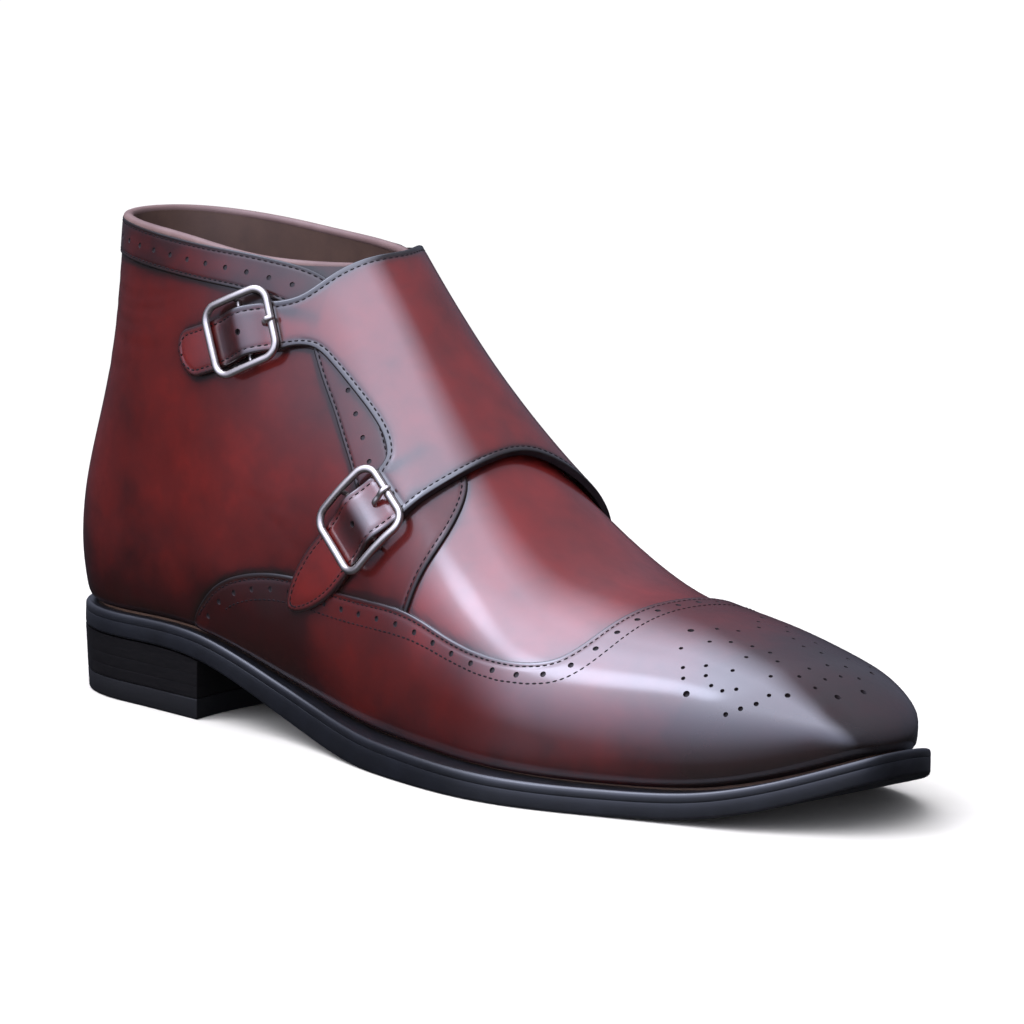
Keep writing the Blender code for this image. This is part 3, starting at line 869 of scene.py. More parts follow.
def tube(name: str, path: Array, up: Array, wide: Array, high: Array, closed: bool, sides: int = 12,
         power: float = 2.0) -> Object:
    """Draws a bar of rounded section along a path.

    Args:
        name: The piece's name.
        path: Points (n, 3).
        up: The section's upward direction at each point.
        wide: Half width, one number or one for each point.
        high: Half height, likewise.
        closed: True for a ring.
        sides: Sides of the section.
        power: Roundness of the section: 2 is an ellipse, more is squarer.

    Returns:
        The new object.
    """
    wide, high = np.broadcast_to(wide, len(path)), np.broadcast_to(high, len(path))
    ahead = np.roll(path, -1, axis=0) - np.roll(path, 1, axis=0) if closed else np.gradient(path, axis=0)
    tangent = unit(ahead)
    up = unit(up - tangent * np.sum(up * tangent, axis=1, keepdims=True))
    aside = np.cross(up, tangent)
    turn = np.linspace(0, 2 * math.pi, sides + 1)
    cos, sin = (np.sign(wave) * np.abs(wave) ** (2 / power) for wave in (np.cos(turn), np.sin(turn)))
    rings = (path[:, None] + aside[:, None] * (wide[:, None] * cos)[..., None]
             + up[:, None] * (high[:, None] * sin)[..., None])
    if closed:
        rings = np.concatenate([rings, rings[:1]])
    else:
        ends = [np.repeat(path[k][None, None], sides + 1, axis=1) for k in (0, -1)]
        rings = np.concatenate([ends[0], rings, ends[1]])
    piece = grid_piece(name, rings, closed=True)
    soften(piece, 50)
    return piece


@dataclass
class Vamp:
    """The front leather, seen between the flap and the wing cap."""

    rear: float = 128.0
    front: float = 240.0
    top: float = -0.6
    thickness: float = 0.8
    columns: int = 121
    rows: int = 95

    def build(self) -> Object:
        """Lays the vamp over the forefoot.

        Returns:
            The vamp.
        """
        w = np.linspace(-LAST.spread, LAST.spread, self.columns)
        x = np.linspace(self.front, self.rear, self.rows)
        places = np.stack(np.meshgrid(x, w, indexing="ij"), axis=-1)
        return Panel("vamp", LAST.from_chart(places), {}, self.top, self.thickness, tuck=True).build()


@dataclass
class Quarter:
    """One side of the leg, from the seam at the back of the heel to its front edge."""

    side: Side
    front: Places
    top: float = 0.3
    thickness: float = 1.2
    seam: float = 1.65
    sewn: float = 0.66
    size: tuple[float, float] = (125.0, 110.0)
    step: float = 1.25
    heel_columns: int = 26
    heel_share: float = 0.11

    def build(self, thread: Thread) -> Object:
        """Lays the quarter and sews its front edge where it shows.

        Args:
            thread: The thread that sews it.

        Returns:
            The quarter.
        """
        lateral = self.side is Side.LATERAL
        foot = float(LAST.feather(self.front[0][0]))
        front = np.array([(self.front[0][0], foot), *self.front[1:]], float)
        near = graded(self.size[0], self.step, False, lateral)
        back = ease(self.heel_columns, end=False) * self.heel_share
        u = np.concatenate([back, near[near > self.heel_share + 0.003]])
        v = graded(self.size[1], self.step, False, False)
        low = float(LAST.feather(0.0))
        bottom = LAST.foot_run(LAST.back(low), front[0, 0], u)
        top = LAST.collar_run(self.side, float(LAST.collar(self.side, LAST.heel_top)), u)
        top[-1] = front[-1]
        points = LAST.lay(self.side, fill_in(bottom, top, lambda t: LAST.heel_run(low, top[0, 1], t),
                                             lambda t: along(front, t), u, v))
        if not lateral:
            points = points[:, ::-1]
        folds = sum((fold(points) for fold in FOLDS if fold.side is self.side), np.zeros(points.shape[:2]))
        free = {Edge.RIGHT: WHOLE} if lateral else {}
        panel = Panel(self.side.name.lower() + "_quarter", points, free, self.top, self.thickness, tuck=True,
                      extra=folds)
        piece = panel.build()
        if lateral:
            thread.sew(panel.beside(Edge.RIGHT, self.seam, 0.0, self.sewn), panel.tree)
        SEAMS.extend(edge_lines(points, {} if lateral else {Edge.LEFT: WHOLE}))
        return piece


@dataclass
class FacingBand:
    """The punched strip sewn round the collar and down the front of both quarters."""

    lateral: Places = (
        (148, 65), (146, 69), (141.6, 76), (136.3, 83.6), (131.5, 89.9), (127.2, 95.7),
        (121.5, 103), (117, 109.5), (113, 116), (108.5, 121.3), (101.5, 125.1), (93, 127),
        (86, 128.1), (75.5, 129.1), (58.8, 130.4), (42, 132), (26, 133.4), (14.4, 134),
    )
    medial: Places = (
        (14.4, 134), (25, 132.7), (41, 130.7), (58, 128.9), (69, 128.1), (79, 127.9),
        (87, 127.9), (93, 127.4), (99, 126), (104, 123), (109, 118.2), (114, 112.6),
        (119, 107), (123, 102.3), (128, 96), (133, 89.3), (138, 83), (142, 78),
        (147, 71.8), (151, 66), (153.6, 60), (154.8, 51), (155, 40),
    )
    half: float = 5.0
    top: float = 0.75
    thickness: float = 0.8
    seam: float = 1.15
    pitch: float = 1.0
    hole_pitch: float = 7.6
    hole_radius: float = 0.85
    hole_depth: float = 0.36
    back_top: float = 134.0
    level_run: float = 12.0
    sink: float = 0.7
    sink_run: float = 7.0

    def half_grid(self, side: Side) -> Array:
        """Lays the strip along one side.

        Args:
            side: Which side.

        Returns:
            Points, with rows from the strip's upper or front edge to the other.
        """
        places = self.lateral if side is Side.LATERAL else self.medial
        at_back = -1 if side is Side.LATERAL else 0
        fine = np.linspace(0, 1, 4001)
        line = along(places, fine)
        tangent = unit(np.gradient(line, axis=0))
        line[:, 0] = np.maximum(line[:, 0], LAST.back(line[:, 1]))
        line[at_back, 0] = LAST.back(self.back_top)
        run = run_along(LAST.lay(side, line))
        share = np.interp(np.linspace(0, run[-1], int(run[-1] / self.pitch)), run, fine)
        line = along(places, share)
        normal = np.stack([np.interp(share, fine, way) for way in (tangent[:, 1], -tangent[:, 0])], axis=-1)
        normal *= side.value * -1.0
        ahead = np.maximum(line[:, 0] - LAST.back(line[:, 1]), 0.0)
        ahead[at_back] = 0.0
        spread = smooth(ahead / self.level_run)
        rows = []
        for step in self.half - 2 * self.half * graded(2 * self.half, 0.8, True, True):
            z = line[:, 1] + normal[:, 1] * step
            rows.append(np.stack([LAST.back(z) + ahead + normal[:, 0] * step * spread, z], axis=-1))
        return LAST.lay(side, np.stack(rows))

    def build(self, thread: Thread) -> Object:
        """Lays the strip, sews both its edges and punches the row of holes down its middle.

        Args:
            thread: The thread that sews it.

        Returns:
            The strip.
        """
        lateral, medial = (self.half_grid(side) for side in Side)
        points = np.concatenate([lateral, medial[:, 1:]], axis=1)
        count = points.shape[1]
        ends = np.minimum(np.arange(count), count - 1 - np.arange(count)) * self.pitch
        sunk = np.tile(-self.sink * (1 - smooth(ends / self.sink_run)), (len(points), 1))
        free = {Edge.START: WHOLE, Edge.FINISH: WHOLE}
        panel = Panel("facing_band", points, free, self.top, self.thickness, edge_radius=0.4,
                      seam=self.seam, seam_depth=0.1, extra=sunk)
        piece = panel.build()
        for edge in (Edge.START, Edge.FINISH):
            thread.sew(panel.beside(edge, self.seam, trim=3.0), panel.tree)
        middle = panel.laid[len(points) // 2]
        for run in (middle[4:lateral.shape[1] - 6][::-1], middle[lateral.shape[1] + 6:-4]):
            punch(piece, panel.tree, resample(run, self.hole_pitch), self.hole_radius, self.hole_depth)
        return piece


@dataclass
class WingCap:
    """The toe piece with its two long wings, stitched and punched along its edge."""

    lateral: Places = (
        (70, 28.5), (72.2, 31.6), (75.4, 34.8), (79.4, 38.3), (84.2, 41.4), (94.5, 45.1), (104.8, 46.8),
        (115, 47.1), (128, 46.2), (146, 45.3), (164.5, 44.1), (180.2, 39.9), (197, 36.6),
        (206.5, 36.1), (213, 36.7), (218.2, 38.6), (221.4, 42.8), (222, 46.8),
    )
    medial: Places = (
        (69.6, 28.5), (72, 34), (77, 40.5), (85, 45.8), (99, 50), (119, 52), (144, 52),
        (165, 50), (179, 44), (194, 38.8), (204, 36.8), (213, 38.9), (219, 44),
        (221.6, 47.8),
    )
    rear: float = 69.0
    centre: float = 222.0
    top: float = 0.9
    thickness: float = 1.7
    columns: int = 150
    rows: int = 52
    seams: tuple[float, float] = (1.65, 7.6)
    hole_row: float = 4.5
    hole_pitch: float = 7.9
    hole_radius: float = 0.9
    hole_depth: float = 0.5
    medallion_depth: float = 1.0
    MEDALLION = {
        0.6: ((246, 22), (251, 27), (253, 29.5), (256, 23), (258, 25.5), (261, 27),
              (264.5, 26.5), (267.5, 24), (263, 20), (275.5, 20), (272, 15), (276.5, 9),
              (281.5, 8.5), (275, 3.5), (280, 3), (250, 15), (254, 11), (259, 8),
              (264, 6.5), (268.5, 8.5), (262, 13.5), (246, 8), (250, 4)),
        0.7: ((268, 31), (271, 27.5), (274, 24)),
        0.8: ((279, 16.5),),
        0.95: ((256, 32.5), (286, 5), (242, 14)),
    }

    def half(self, side: Side) -> Array:
        """Lays one side of the cap.

        Args:
            side: Which side.

        Returns:
            Its points, from the wing's tip to the ridge.
        """
        edge = [*(self.lateral if side is Side.LATERAL else self.medial),
                (self.centre, float(LAST.ridge(self.centre)))]
        u = ease(self.columns, start=False)
        bottom, top = LAST.foot_run(self.rear, LAST.length, u), along(edge, u)
        corner = np.array([self.rear, float(LAST.feather(self.rear))])

        def laid(rows: Array) -> Array:
            """Returns the cap between the feather line, its edge, the wing's short end and the ridge."""
            return LAST.lay(side, fill_in(bottom, top, lambda t: corner + (top[0] - corner) * t[..., None],
                                          lambda t: LAST.ridge_run(LAST.length, self.centre, t),
                                          u ** 3, rows))

        trial = laid(np.linspace(0, 1, 60))
        lengths = np.linalg.norm(np.diff(trial, axis=0), axis=-1).sum(axis=0)
        return laid(graded_rows(lengths, self.rows))

    def build(self, thread: Thread) -> Object:
        """Lays the cap, sews it down and punches its edge and its toe.

        Args:
            thread: The thread that sews it.

        Returns:
            The wing cap.
        """
        sides = {side: self.half(side) for side in Side}
        points = np.concatenate([sides[Side.LATERAL], sides[Side.MEDIAL][:, -2::-1]], axis=1)
        free = {Edge.FINISH: WHOLE, Edge.LEFT: WHOLE, Edge.RIGHT: WHOLE}
        panel = Panel("wing_cap", points, free, self.top, self.thickness, tuck=True)
        piece = panel.build()
        for distance in self.seams:
            thread.sew(panel.beside(Edge.FINISH, distance, trim=2.0 * distance), panel.tree)
        row = resample(panel.beside(Edge.FINISH, self.hole_row, trim=7.0), self.hole_pitch)
        punch(piece, panel.tree, row, self.hole_radius, self.hole_depth)
        for radius, holes in self.MEDALLION.items():
            both = [(x, arc * sign) for x, arc in holes for sign in (-1, 1)]
            punch(piece, panel.tree, self.over_ridge(both), radius, self.medallion_depth)
        return piece

    def over_ridge(self, places: Sequence[tuple[float, float]]) -> Array:
        """Turns stations and girth distances from the ridge into points on the last.

        Args:
            places: Rows of x and distance, negative on the lateral side.

        Returns:
            Points (n, 3).
        """
        found = []
        for x, arc in places:
            w = np.linspace(0, math.copysign(LAST.spread, arc), 400)
            section = LAST.from_chart(np.stack([np.full(len(w), x), w], axis=-1))
            found.append([np.interp(abs(arc), run_along(section), section[:, k]) for k in range(3)])
        return np.array(found)


@dataclass(frozen=True)
class Fold:
    """A soft fold in the leather: a trough with a low ridge beside it."""

    side: Side
    x: float
    z: float
    angle: float
    length: float
    width: float
    depth: float

    BOW = 0.12
    RIDGE_HEIGHT, RIDGE_AWAY, RIDGE_WIDTH = 0.55, 1.9, 1.3

    def __call__(self, points: Array) -> Array:
        """Works out the fold's shape.

        Args:
            points: Points on the last (..., 3).

        Returns:
            The height that the fold adds at each.
        """
        turn = math.radians(self.angle)
        dx, dz = points[..., 0] - self.x, points[..., 2] - self.z
        run = dx * math.cos(turn) + dz * math.sin(turn)
        off = -dx * math.sin(turn) + dz * math.cos(turn) - self.BOW * run ** 2 / self.length
        window = np.exp(-(run / self.length) ** 2)
        trough = np.exp(-(off / self.width) ** 2)
        beside = (off - self.RIDGE_AWAY * self.width) / (self.RIDGE_WIDTH * self.width)
        ridge = self.RIDGE_HEIGHT * np.exp(-beside ** 2)
        return self.depth * window * (ridge - trough)


FOLDS = tuple(Fold(side, *row) for side, rows in (
    (Side.LATERAL, (
        (34, 118, -8, 13, 1, 0.16),
        (46, 114.5, 6, 15, 1.1, 0.15),
        (30, 111, -12, 12, 1.2, 0.13),
        (56, 119.5, 12, 10, 0.9, 0.12),
        (40, 104, -4, 16, 1.5, 0.11),
        (28, 96, 6, 13, 1.8, 0.10),
        (108, 61, -16, 8, 1, 0.08),
        (113, 56.5, -24, 7, 0.9, 0.08),
        (101, 66.5, -10, 9, 1.2, 0.07),
        (110, 51, 24, 6, 0.9, 0.06),
    )),
    (Side.MEDIAL, (
        (45, 112, -10, 16, 1.4, 0.14),
        (58, 104, -18, 14, 1.3, 0.12),
        (92, 74, -24, 12, 1.5, 0.12),
    )),
) for row in rows)
SEAMS: list[Array] = []


@dataclass
class Strap:
    """One strap of the flap, drawn flat: s runs back along it from its buckle's middle, t across it."""

    name: str
    x: float
    z: float
    run_x: float
    run_z: float
    tail: float
    tip: float
    width: float
    bow_root: float
    bow_tail: float
    hole: float
    prong: tuple[float, float]
    covered: float
    point: float = 2.0
    root: float = 14.0
    tucked: float = 8.0
    top: float = 2.35
    thickness: float = 1.9
    climb: float = 1.7
    climb_run: float = 4.4
    bow_start: float = 4.0
    hidden_share: float = 0.3
    hidden_run: float = 6.0
    sink: float = 0.9
    seam: float = 1.75
    pitch: float = 0.75
    hole_radius: float = 0.95
    hole_depth: float = 1.2

    def __post_init__(self) -> None:
        """Finds the strap's own directions on the last."""
        side, step = Side.LATERAL, 2.0
        self.middle = np.array([self.x, float(LAST.half_y(side, self.x, self.z)), self.z])
        slopes = [(LAST.half_y(side, self.x + dx, self.z + dz) - LAST.half_y(side, self.x - dx, self.z - dz))
                  / (2 * step) for dx, dz in ((step, 0.0), (0.0, step))]
        out = np.array([float(slopes[0]), -1.0, float(slopes[1])])
        self.out = out / np.linalg.norm(out)
        run = np.array([self.run_x, 0.0, self.run_z])
        run -= self.out * (run @ self.out)
        self.run = run / np.linalg.norm(run)
        self.across = np.cross(self.out, self.run)
        self.tip_start = self.tail - 0.5 * self.width * self.tip

    def surface(self, s: Array, t: Array) -> Array:
        """Finds the places on the last under flat places.

        Args:
            s: Distances along the strap.
            t: Distances across it, shaped alike.

        Returns:
            Points (..., 3).
        """
        flat = self.middle + np.multiply.outer(s, self.run) + np.multiply.outer(t, self.across)
        depth = np.zeros(flat.shape[:-1])
        steps, damping = 14, 0.8
        for _ in range(steps):
            point = flat + depth[..., None] * self.out
            off = LAST.half_y(Side.LATERAL, point[..., 0], point[..., 2]) - point[..., 1]
            depth += off / self.out[1] * damping
        return flat + depth[..., None] * self.out

    def raised(self, s: Array, t: Array, height: Array) -> Array:
        """Returns the points at a height over flat places."""
        s, t = np.asarray(s, float), np.asarray(t, float)
        return self.surface(s, t) + np.multiply.outer(height, self.out)

    def rise(self, s: Array) -> Array:
        """Returns how far the strap climbs over its buckle's centre bar."""
        return self.climb * np.exp(-(np.asarray(s) / self.climb_run) ** 2)

    def bow(self, s: Array) -> Array:
        """Returns how far the strap's middle lies out of line."""
        tail = np.maximum(s - self.bow_start, 0.0) / (self.tail - self.bow_start)
        return self.bow_root * (np.minimum(s, 0.0) / self.root) ** 2 + self.bow_tail * tail ** 2

    def half_width(self, s: Array) -> Array:
        """Gives the half width: even along the strap, less under the flap, rounded off to the tip.

        Args:
            s: Distances along the strap.

        Returns:
            Half widths.
        """
        hidden = 1 - self.hidden_share * smooth((-s - self.covered) / self.hidden_run)
        off = (s - self.tip_start) / (self.tail - self.tip_start)
        return 0.5 * self.width * hidden * rounding(off, np.float64(self.point))

    def edge(self, t_side: float) -> Array:
        """Returns one end of the line across the strap where the flap leaves off, as a side-view place."""
        s = np.array(-self.covered)
        return self.surface(s, t_side * self.width / 2 + self.bow(s))[[0, 2]]

    def build(self, thread: Thread) -> Object:
        """Lays the strap from under the flap to its tip, sews both edges and punches its hole.

        Args:
            thread: The thread that sews it.

        Returns:
            The strap.
        """
        s = np.concatenate([
            np.arange(-self.root - self.tucked, self.tip_start, self.pitch),
            self.tip_start + (self.tail - self.tip_start) * np.sin(np.linspace(0, math.pi / 2, 26))])
        share = 2 * graded(self.width, 0.9, True, True) - 1
        flat_s = np.repeat(s[None], len(share), axis=0)
        flat_t = share[:, None] * np.maximum(self.half_width(s), 0.4)[None] + self.bow(s)[None]
        points = self.surface(flat_s, flat_t)
        tucked = sum(-self.sink * (1 - smooth((flat_s + end) / reach))
                     for end, reach in ((self.covered + 1.0, 3.5), (20.0, 6.0)))
        free = {Edge.START: WHOLE, Edge.FINISH: WHOLE, Edge.RIGHT: WHOLE}
        panel = Panel(self.name + "_strap", points, free, self.top, self.thickness, seam=self.seam,
                      extra=self.rise(flat_s) + tucked, outward=self.out)
        piece = panel.build()
        first = int(np.searchsorted(s, -self.covered + 1.5))
        inner = self.half_width(s) - self.seam
        for sign in (-1, 1):
            line_s = np.where(inner > 0, s, self.tail - self.seam)
            line_t = sign * np.maximum(inner, 0.0) + self.bow(line_s)
            line = self.raised(line_s, line_t, self.top + self.rise(line_s))
            thread.sew(line[first:], panel.tree)
        place = self.raised([self.hole], [0.0], self.top + self.rise([self.hole]))
        punch(piece, panel.tree, place, self.hole_radius, self.hole_depth)
        return piece


@dataclass
class Buckle:
    """A small polished frame of wire with its centre bar, and the prong that comes through the strap."""

    strap: Strap
    length: float
    width: float
    corner: float = 4.4
    wire: float = 1.08
    bar: float = 0.7
    height: float = 3.7
    bar_height: float = 1.0
    prong_wide: float = 0.85
    prong_over: float = 0.45

    FRAME_FLAT, FRAME_SQUARE, BAR_RISE = 0.92, 2.3, 2.2
    TAPER, TAPER_START, TAPER_RUN, PRONG_FLAT, PRONG_SQUARE = 0.35, 0.72, 0.28, 0.75, 2.6
    PRONG_START = ((1.6, -3.2), (0.7, -1.6), (0.0, -0.2), (-1.2, 0.5), (-2.6, 0.9))
    PRONG_END = ((2.0, -0.1), (1.0, 0.0), (0.3, -0.2), (0.0, -0.9))

    def frame_places(self) -> Array:
        """Draws the rounded rectangle of the frame.

        Returns:
            Flat places (n, 2).
        """
        half_s, half_t, corner = self.length / 2, self.width / 2, self.corner
        places = []
        for quarter, (side_s, side_t) in enumerate(((1, 1), (-1, 1), (-1, -1), (1, -1))):
            for turn in np.linspace(0, math.pi / 2, 13) + quarter * math.pi / 2:
                places.append((side_s * (half_s - corner) + corner * math.cos(turn),
                               side_t * (half_t - corner) + corner * math.sin(turn)))
            (a, b), along_s = places[-1], quarter % 2 == 0
            span = 2 * (half_s if along_s else half_t) - 2 * corner
            for step in np.linspace(0, span, 9)[1:-1]:
                places.append((a - side_s * step, b) if along_s else (a, b - side_t * step))
        return np.array(places)

    def build(self) -> dict[str, Object]:
        """Returns the frame with its bar, and the prong."""
        return {"frame": self.frame(), "prong": self.prong()}

    def frame(self) -> Object:
        """Bends the frame, and sets the centre bar down from it to the last.

        Returns:
            The frame with its bar.
        """
        strap, places = self.strap, self.frame_places()
        path = strap.raised(places[:, 0], places[:, 1], np.full(len(places), self.height))
        up = np.tile(strap.out, (len(path), 1))
        frame = tube(strap.name + "_buckle_frame", path, up, self.wire, self.FRAME_FLAT * self.wire, True, 16,
                     self.FRAME_SQUARE)
        half = self.width / 2
        t = np.concatenate([[half], np.linspace(half - 0.1, half - 0.8, 5), [0.0]])
        drop = self.bar_height + self.BAR_RISE * (1 - smooth(np.linspace(0, 1, 5)))
        high = np.concatenate([[self.height], drop, [self.bar_height]])
        t, high = np.concatenate([t, -t[-2::-1]]), np.concatenate([high, high[-2::-1]])
        bar = tube("bar", strap.raised(0 * t, t, high), np.tile(strap.out, (len(t), 1)), self.bar, self.bar,
                   False, 10)
        select_only(frame)
        bar.select_set(True)
        bpy.ops.object.join()
        return frame

    def prong(self) -> Object:
        """Bends the prong from the strap's hole over the frame.

        Returns:
            The prong.
        """
        strap = self.strap
        near, far = strap.prong
        low, over = strap.top + self.prong_wide, self.height + self.wire + self.prong_over
        bends = [(near + s, low + high) for s, high in self.PRONG_START]
        bends += [(far + s, over + high) for s, high in self.PRONG_END]
        share = np.linspace(0, 1, 34)
        run = along(bends, share)
        route = strap.raised(run[:, 0], 0 * run[:, 0], run[:, 1])
        wide = self.prong_wide * (1 - self.TAPER * smooth((share - self.TAPER_START) / self.TAPER_RUN))
        up = np.tile(strap.out, (len(route), 1))
        return tube(strap.name + "_prong_wire", route, up, wide, self.PRONG_FLAT * wide, False, 12,
                    self.PRONG_SQUARE)


@dataclass
class Flap:
    """The large flap that crosses the instep and ends in the two buckled straps."""

    upper_strap: Strap
    lower_strap: Strap
    ridge_top: float = 116.0
    ridge_front: float = 164.5
    front_lateral: Places = ((161.2, 76.2), (163.7, 80.8))
    front_medial: Places = ((167.5, 75.0), (167.2, 63.0), (165.2, 55.0), (163.0, 47.0))
    top_lateral: Places = ((104.8, 123.0), (109.3, 127.8), (114.0, 132.2))
    top_medial: Places = ((112.0, 134.2), (104.0, 132.9), (96.0, 132.2), (88.0, 131.6))
    cutout: Places = (
        (143.4, 82.4), (141.6, 85.4), (137, 90.3), (128, 97.6), (118.5, 104.9), (112.8, 108.5),
        (108.8, 109.2),
    )
    root_medial: Places = (
        (154.5, 47), (154.6, 54), (151, 66), (142, 78), (133, 89.3), (123, 102.3),
        (114, 112.6), (106, 121), (98, 127), (88, 131.6),
    )
    top: float = 2.6
    thickness: float = 2.0
    seam: float = 1.75
    width: float = 110.0
    step: float = 1.0
    hold: float = 3.0
    fade_start: float = 4.9
    fade_run: float = 11.0
    root_top: float = 0.42
    front_end: float = 0.97
    top_end: float = 0.93
    SPANS = (15.0, 60.0, 15.0)

    def build(self, thread: Thread) -> Object:
        """Lays the flap over the instep and sews its front, its top and its cut-out.

        Args:
            thread: The thread that sews it.

        Returns:
            The flap.
        """
        lower, upper = (sorted((tuple(strap.edge(side)) for side in (-1, 1)), key=lambda place: place[1])
                        for strap in (self.lower_strap, self.upper_strap))
        side, other = Side.LATERAL, Side.MEDIAL
        front = np.concatenate([LAST.chart(side, [lower[0], *self.front_lateral]), [[self.ridge_front, 0.0]],
                                LAST.chart(other, self.front_medial)])
        top = np.concatenate([LAST.chart(side, [upper[1], *self.top_lateral]), [[self.ridge_top, 0.0]],
                              LAST.chart(other, self.top_medial)])
        cut = LAST.chart(side, [lower[1], *self.cutout, upper[0]])
        ends = LAST.chart(side, [lower[0], lower[1], upper[0], upper[1]])
        root = LAST.chart(other, self.root_medial)
        root[0], root[-1] = front[-1], top[-1]
        total = sum(self.SPANS)
        v = graded(total, self.step, True, True)
        marks = np.cumsum(self.SPANS)[:2] / total

        def left(t: Array) -> Array:
            """Draws the rear edge on the outer side: root of one strap, cut-out, root of the other.

            Args:
                t: Shares of the edge.

            Returns:
                Chart places.
            """
            first = ends[0] + (ends[1] - ends[0]) * np.clip(t / marks[0], 0, 1)[..., None]
            last = ends[2] + (ends[3] - ends[2]) * np.clip((t - marks[1]) / (1 - marks[1]), 0, 1)[..., None]
            between = along(cut, np.clip((t - marks[0]) / (marks[1] - marks[0]), 0, 1))
            return np.where((t < marks[0])[..., None], first,
                            np.where((t > marks[1])[..., None], last, between))

        u = graded(self.width, self.step, True, False)
        points = LAST.from_chart(fill_in(along(front, u), along(top, u), left, lambda t: along(root, t), u, v,
                                         self.hold))
        away = np.linalg.norm(points - points[:, -1:], axis=-1)
        fade = -(self.top - self.root_top) * (1 - smooth((away - self.fade_start) / self.fade_run))
        free = {Edge.START: (0.0, self.front_end), Edge.FINISH: (0.0, self.top_end), Edge.LEFT: WHOLE}
        panel = Panel("flap", points, free, self.top, self.thickness, seam=self.seam, extra=fade,
                      finishes=("burnished_calf_leather", "inked_cut_edge"))
        piece = panel.build()
        thread.sew(panel.beside(Edge.START, self.seam, 0.0, self.front_end - 0.005), panel.tree)
        thread.sew(panel.beside(Edge.FINISH, self.seam, 0.0, self.top_end), panel.tree)
        first, last = (int(np.searchsorted(v, mark)) / len(v) for mark in marks)
        thread.sew(panel.beside(Edge.LEFT, self.seam, first, last - 0.01), panel.tree)
        return piece


@dataclass
class CollarBinding:
    """The rounded leather edge that runs round the top of the boot."""

    depth: float = 0.85
    wide: float = 1.45
    high: float = 1.25
    drop: float = 0.55
    pitch: float = 1.1
    back_height: float = 138.5
    middle: tuple[float, float, float] = (66.0, 0.0, 0.0)

    def build(self) -> Object:
        """Lays the binding round the top edge.

        Returns:
            The binding.
        """
        share = ease(600, end=False)
        runs = [resample(LAST.lay(side, LAST.collar_run(side, self.back_height, share)), self.pitch)
                for side in Side]
        loop = np.concatenate([runs[0][::-1], runs[1][1:]])
        aside = unit(np.cross(np.gradient(loop, axis=0), [0.0, 0.0, 1.0]))
        outward = np.where(np.sum(aside * (loop - self.middle), axis=1, keepdims=True) < 0, -aside, aside)
        path = loop - outward * self.depth
        path[:, 2] -= self.drop
        up = np.tile([0.0, 0.0, 1.0], (len(path), 1))
        return tube("collar_binding", path, up, self.wide, self.high, False, 14, 2.4)


@dataclass
class Lining:
    """The soft leather inside the boot, and the sock on the insole."""

    depth: float = 1.45
    thickness: float = 0.8
    columns: int = 70
    rows: int = 60
    below: float = 0.6
    sock_inset: float = 2.5
    sock_top: float = 4.5

    def half(self, side: Side) -> Array:
        """Lays one side of the lining.

        Args:
            side: Which side.

        Returns:
            Points, with rows from the feather line to the collar and the ridge.
        """
        u, v = ease(self.columns), ease(self.rows, end=False)
        low, high = float(LAST.feather(0.0)), float(LAST.collar(side, LAST.heel_top)) - self.below
        bottom = LAST.foot_run(LAST.back(low), LAST.length, u)
        top = LAST.collar_run(side, high, u)
        top[:, 1] -= self.below * (1 - u ** 6)
        top[-1] = LAST.ridge_run(LAST.length, LAST.throat, np.array([1.0]))[0]
        return LAST.lay(side, fill_in(bottom, top, lambda t: LAST.heel_run(low, top[0, 1], t),
                                      lambda t: LAST.ridge_run(LAST.length, LAST.throat, t), u, v))

    def build(self) -> Object:
        """Joins both sides of the lining along the ridge and the toe.

        Returns:
            The lining, with its own thickness.
        """
        lateral, medial = (self.half(side) for side in Side)
        piece = grid_piece("lining", np.concatenate([medial[:, ::-1], lateral[:, 1:]], axis=1), closed=True)
        inward = piece.modifiers.new("inward", "DISPLACE")
        inward.strength, inward.mid_level = -self.depth * MM, 0.0
        wall = piece.modifiers.new("wall", "SOLIDIFY")
        wall.thickness, wall.offset = self.thickness * MM, -1
        apply_modifiers(piece)
        return piece

    def sock(self) -> Object:
        """Draws the insole with its sock.

        Returns:
            The insole, its upper edge rounded.
        """
        plan, middle = LAST.outline(110, self.sock_inset)
        profile = ((0.0, LAST.sole_top, LAST.gap), (0.0, LAST.sole_top, self.sock_top - 0.6),
                   (0.18, LAST.sole_top, self.sock_top - 0.17), (0.6, LAST.sole_top, self.sock_top))
        return plate("insole_sock", plan, middle, profile)


def plate(name: str, plan: Array, middle: Array,
          profile: Sequence[tuple[float, Callable[[Array], Array], float]], inner: int = 5) -> Object:
    """Draws a closed plate whose edge follows a profile.

    Args:
        name: The piece's name.
        plan: The plate's plan loop (n, 2).
        middle: The place that each plan point faces.
        profile: Rows of inset, height function and lift, from the underside's edge to the top's.
        inner: Steps over the flat faces, from the edge to the middle.

    Returns:
        The plate.
    """
    reach = np.linalg.norm(middle - plan, axis=1)
    rings = []

    def ring(share: Array, height: Callable[[Array], Array], lift: float) -> Array:
        """Returns one closed ring at a share of the way to the middle."""
        flat = plan + (middle - plan) * np.broadcast_to(share, len(plan))[:, None]
        return np.column_stack([flat, height(flat[:, 0]) + lift])

    first, last = profile[0], profile[-1]
    for share in np.linspace(1, 0, inner + 1)[:-1]:
        rings.append(ring(np.maximum(share, first[0] / reach), first[1], first[2]))
    for inset, height, lift in profile:
        rings.append(ring(inset / reach, height, lift))
    for share in np.linspace(0, 1, inner + 1)[1:]:
        rings.append(ring(np.maximum(share, last[0] / reach), last[1], last[2]))
    rings = np.stack(rings)
    return grid_piece(name, np.concatenate([rings, rings[:, :1]], axis=1), closed=True)


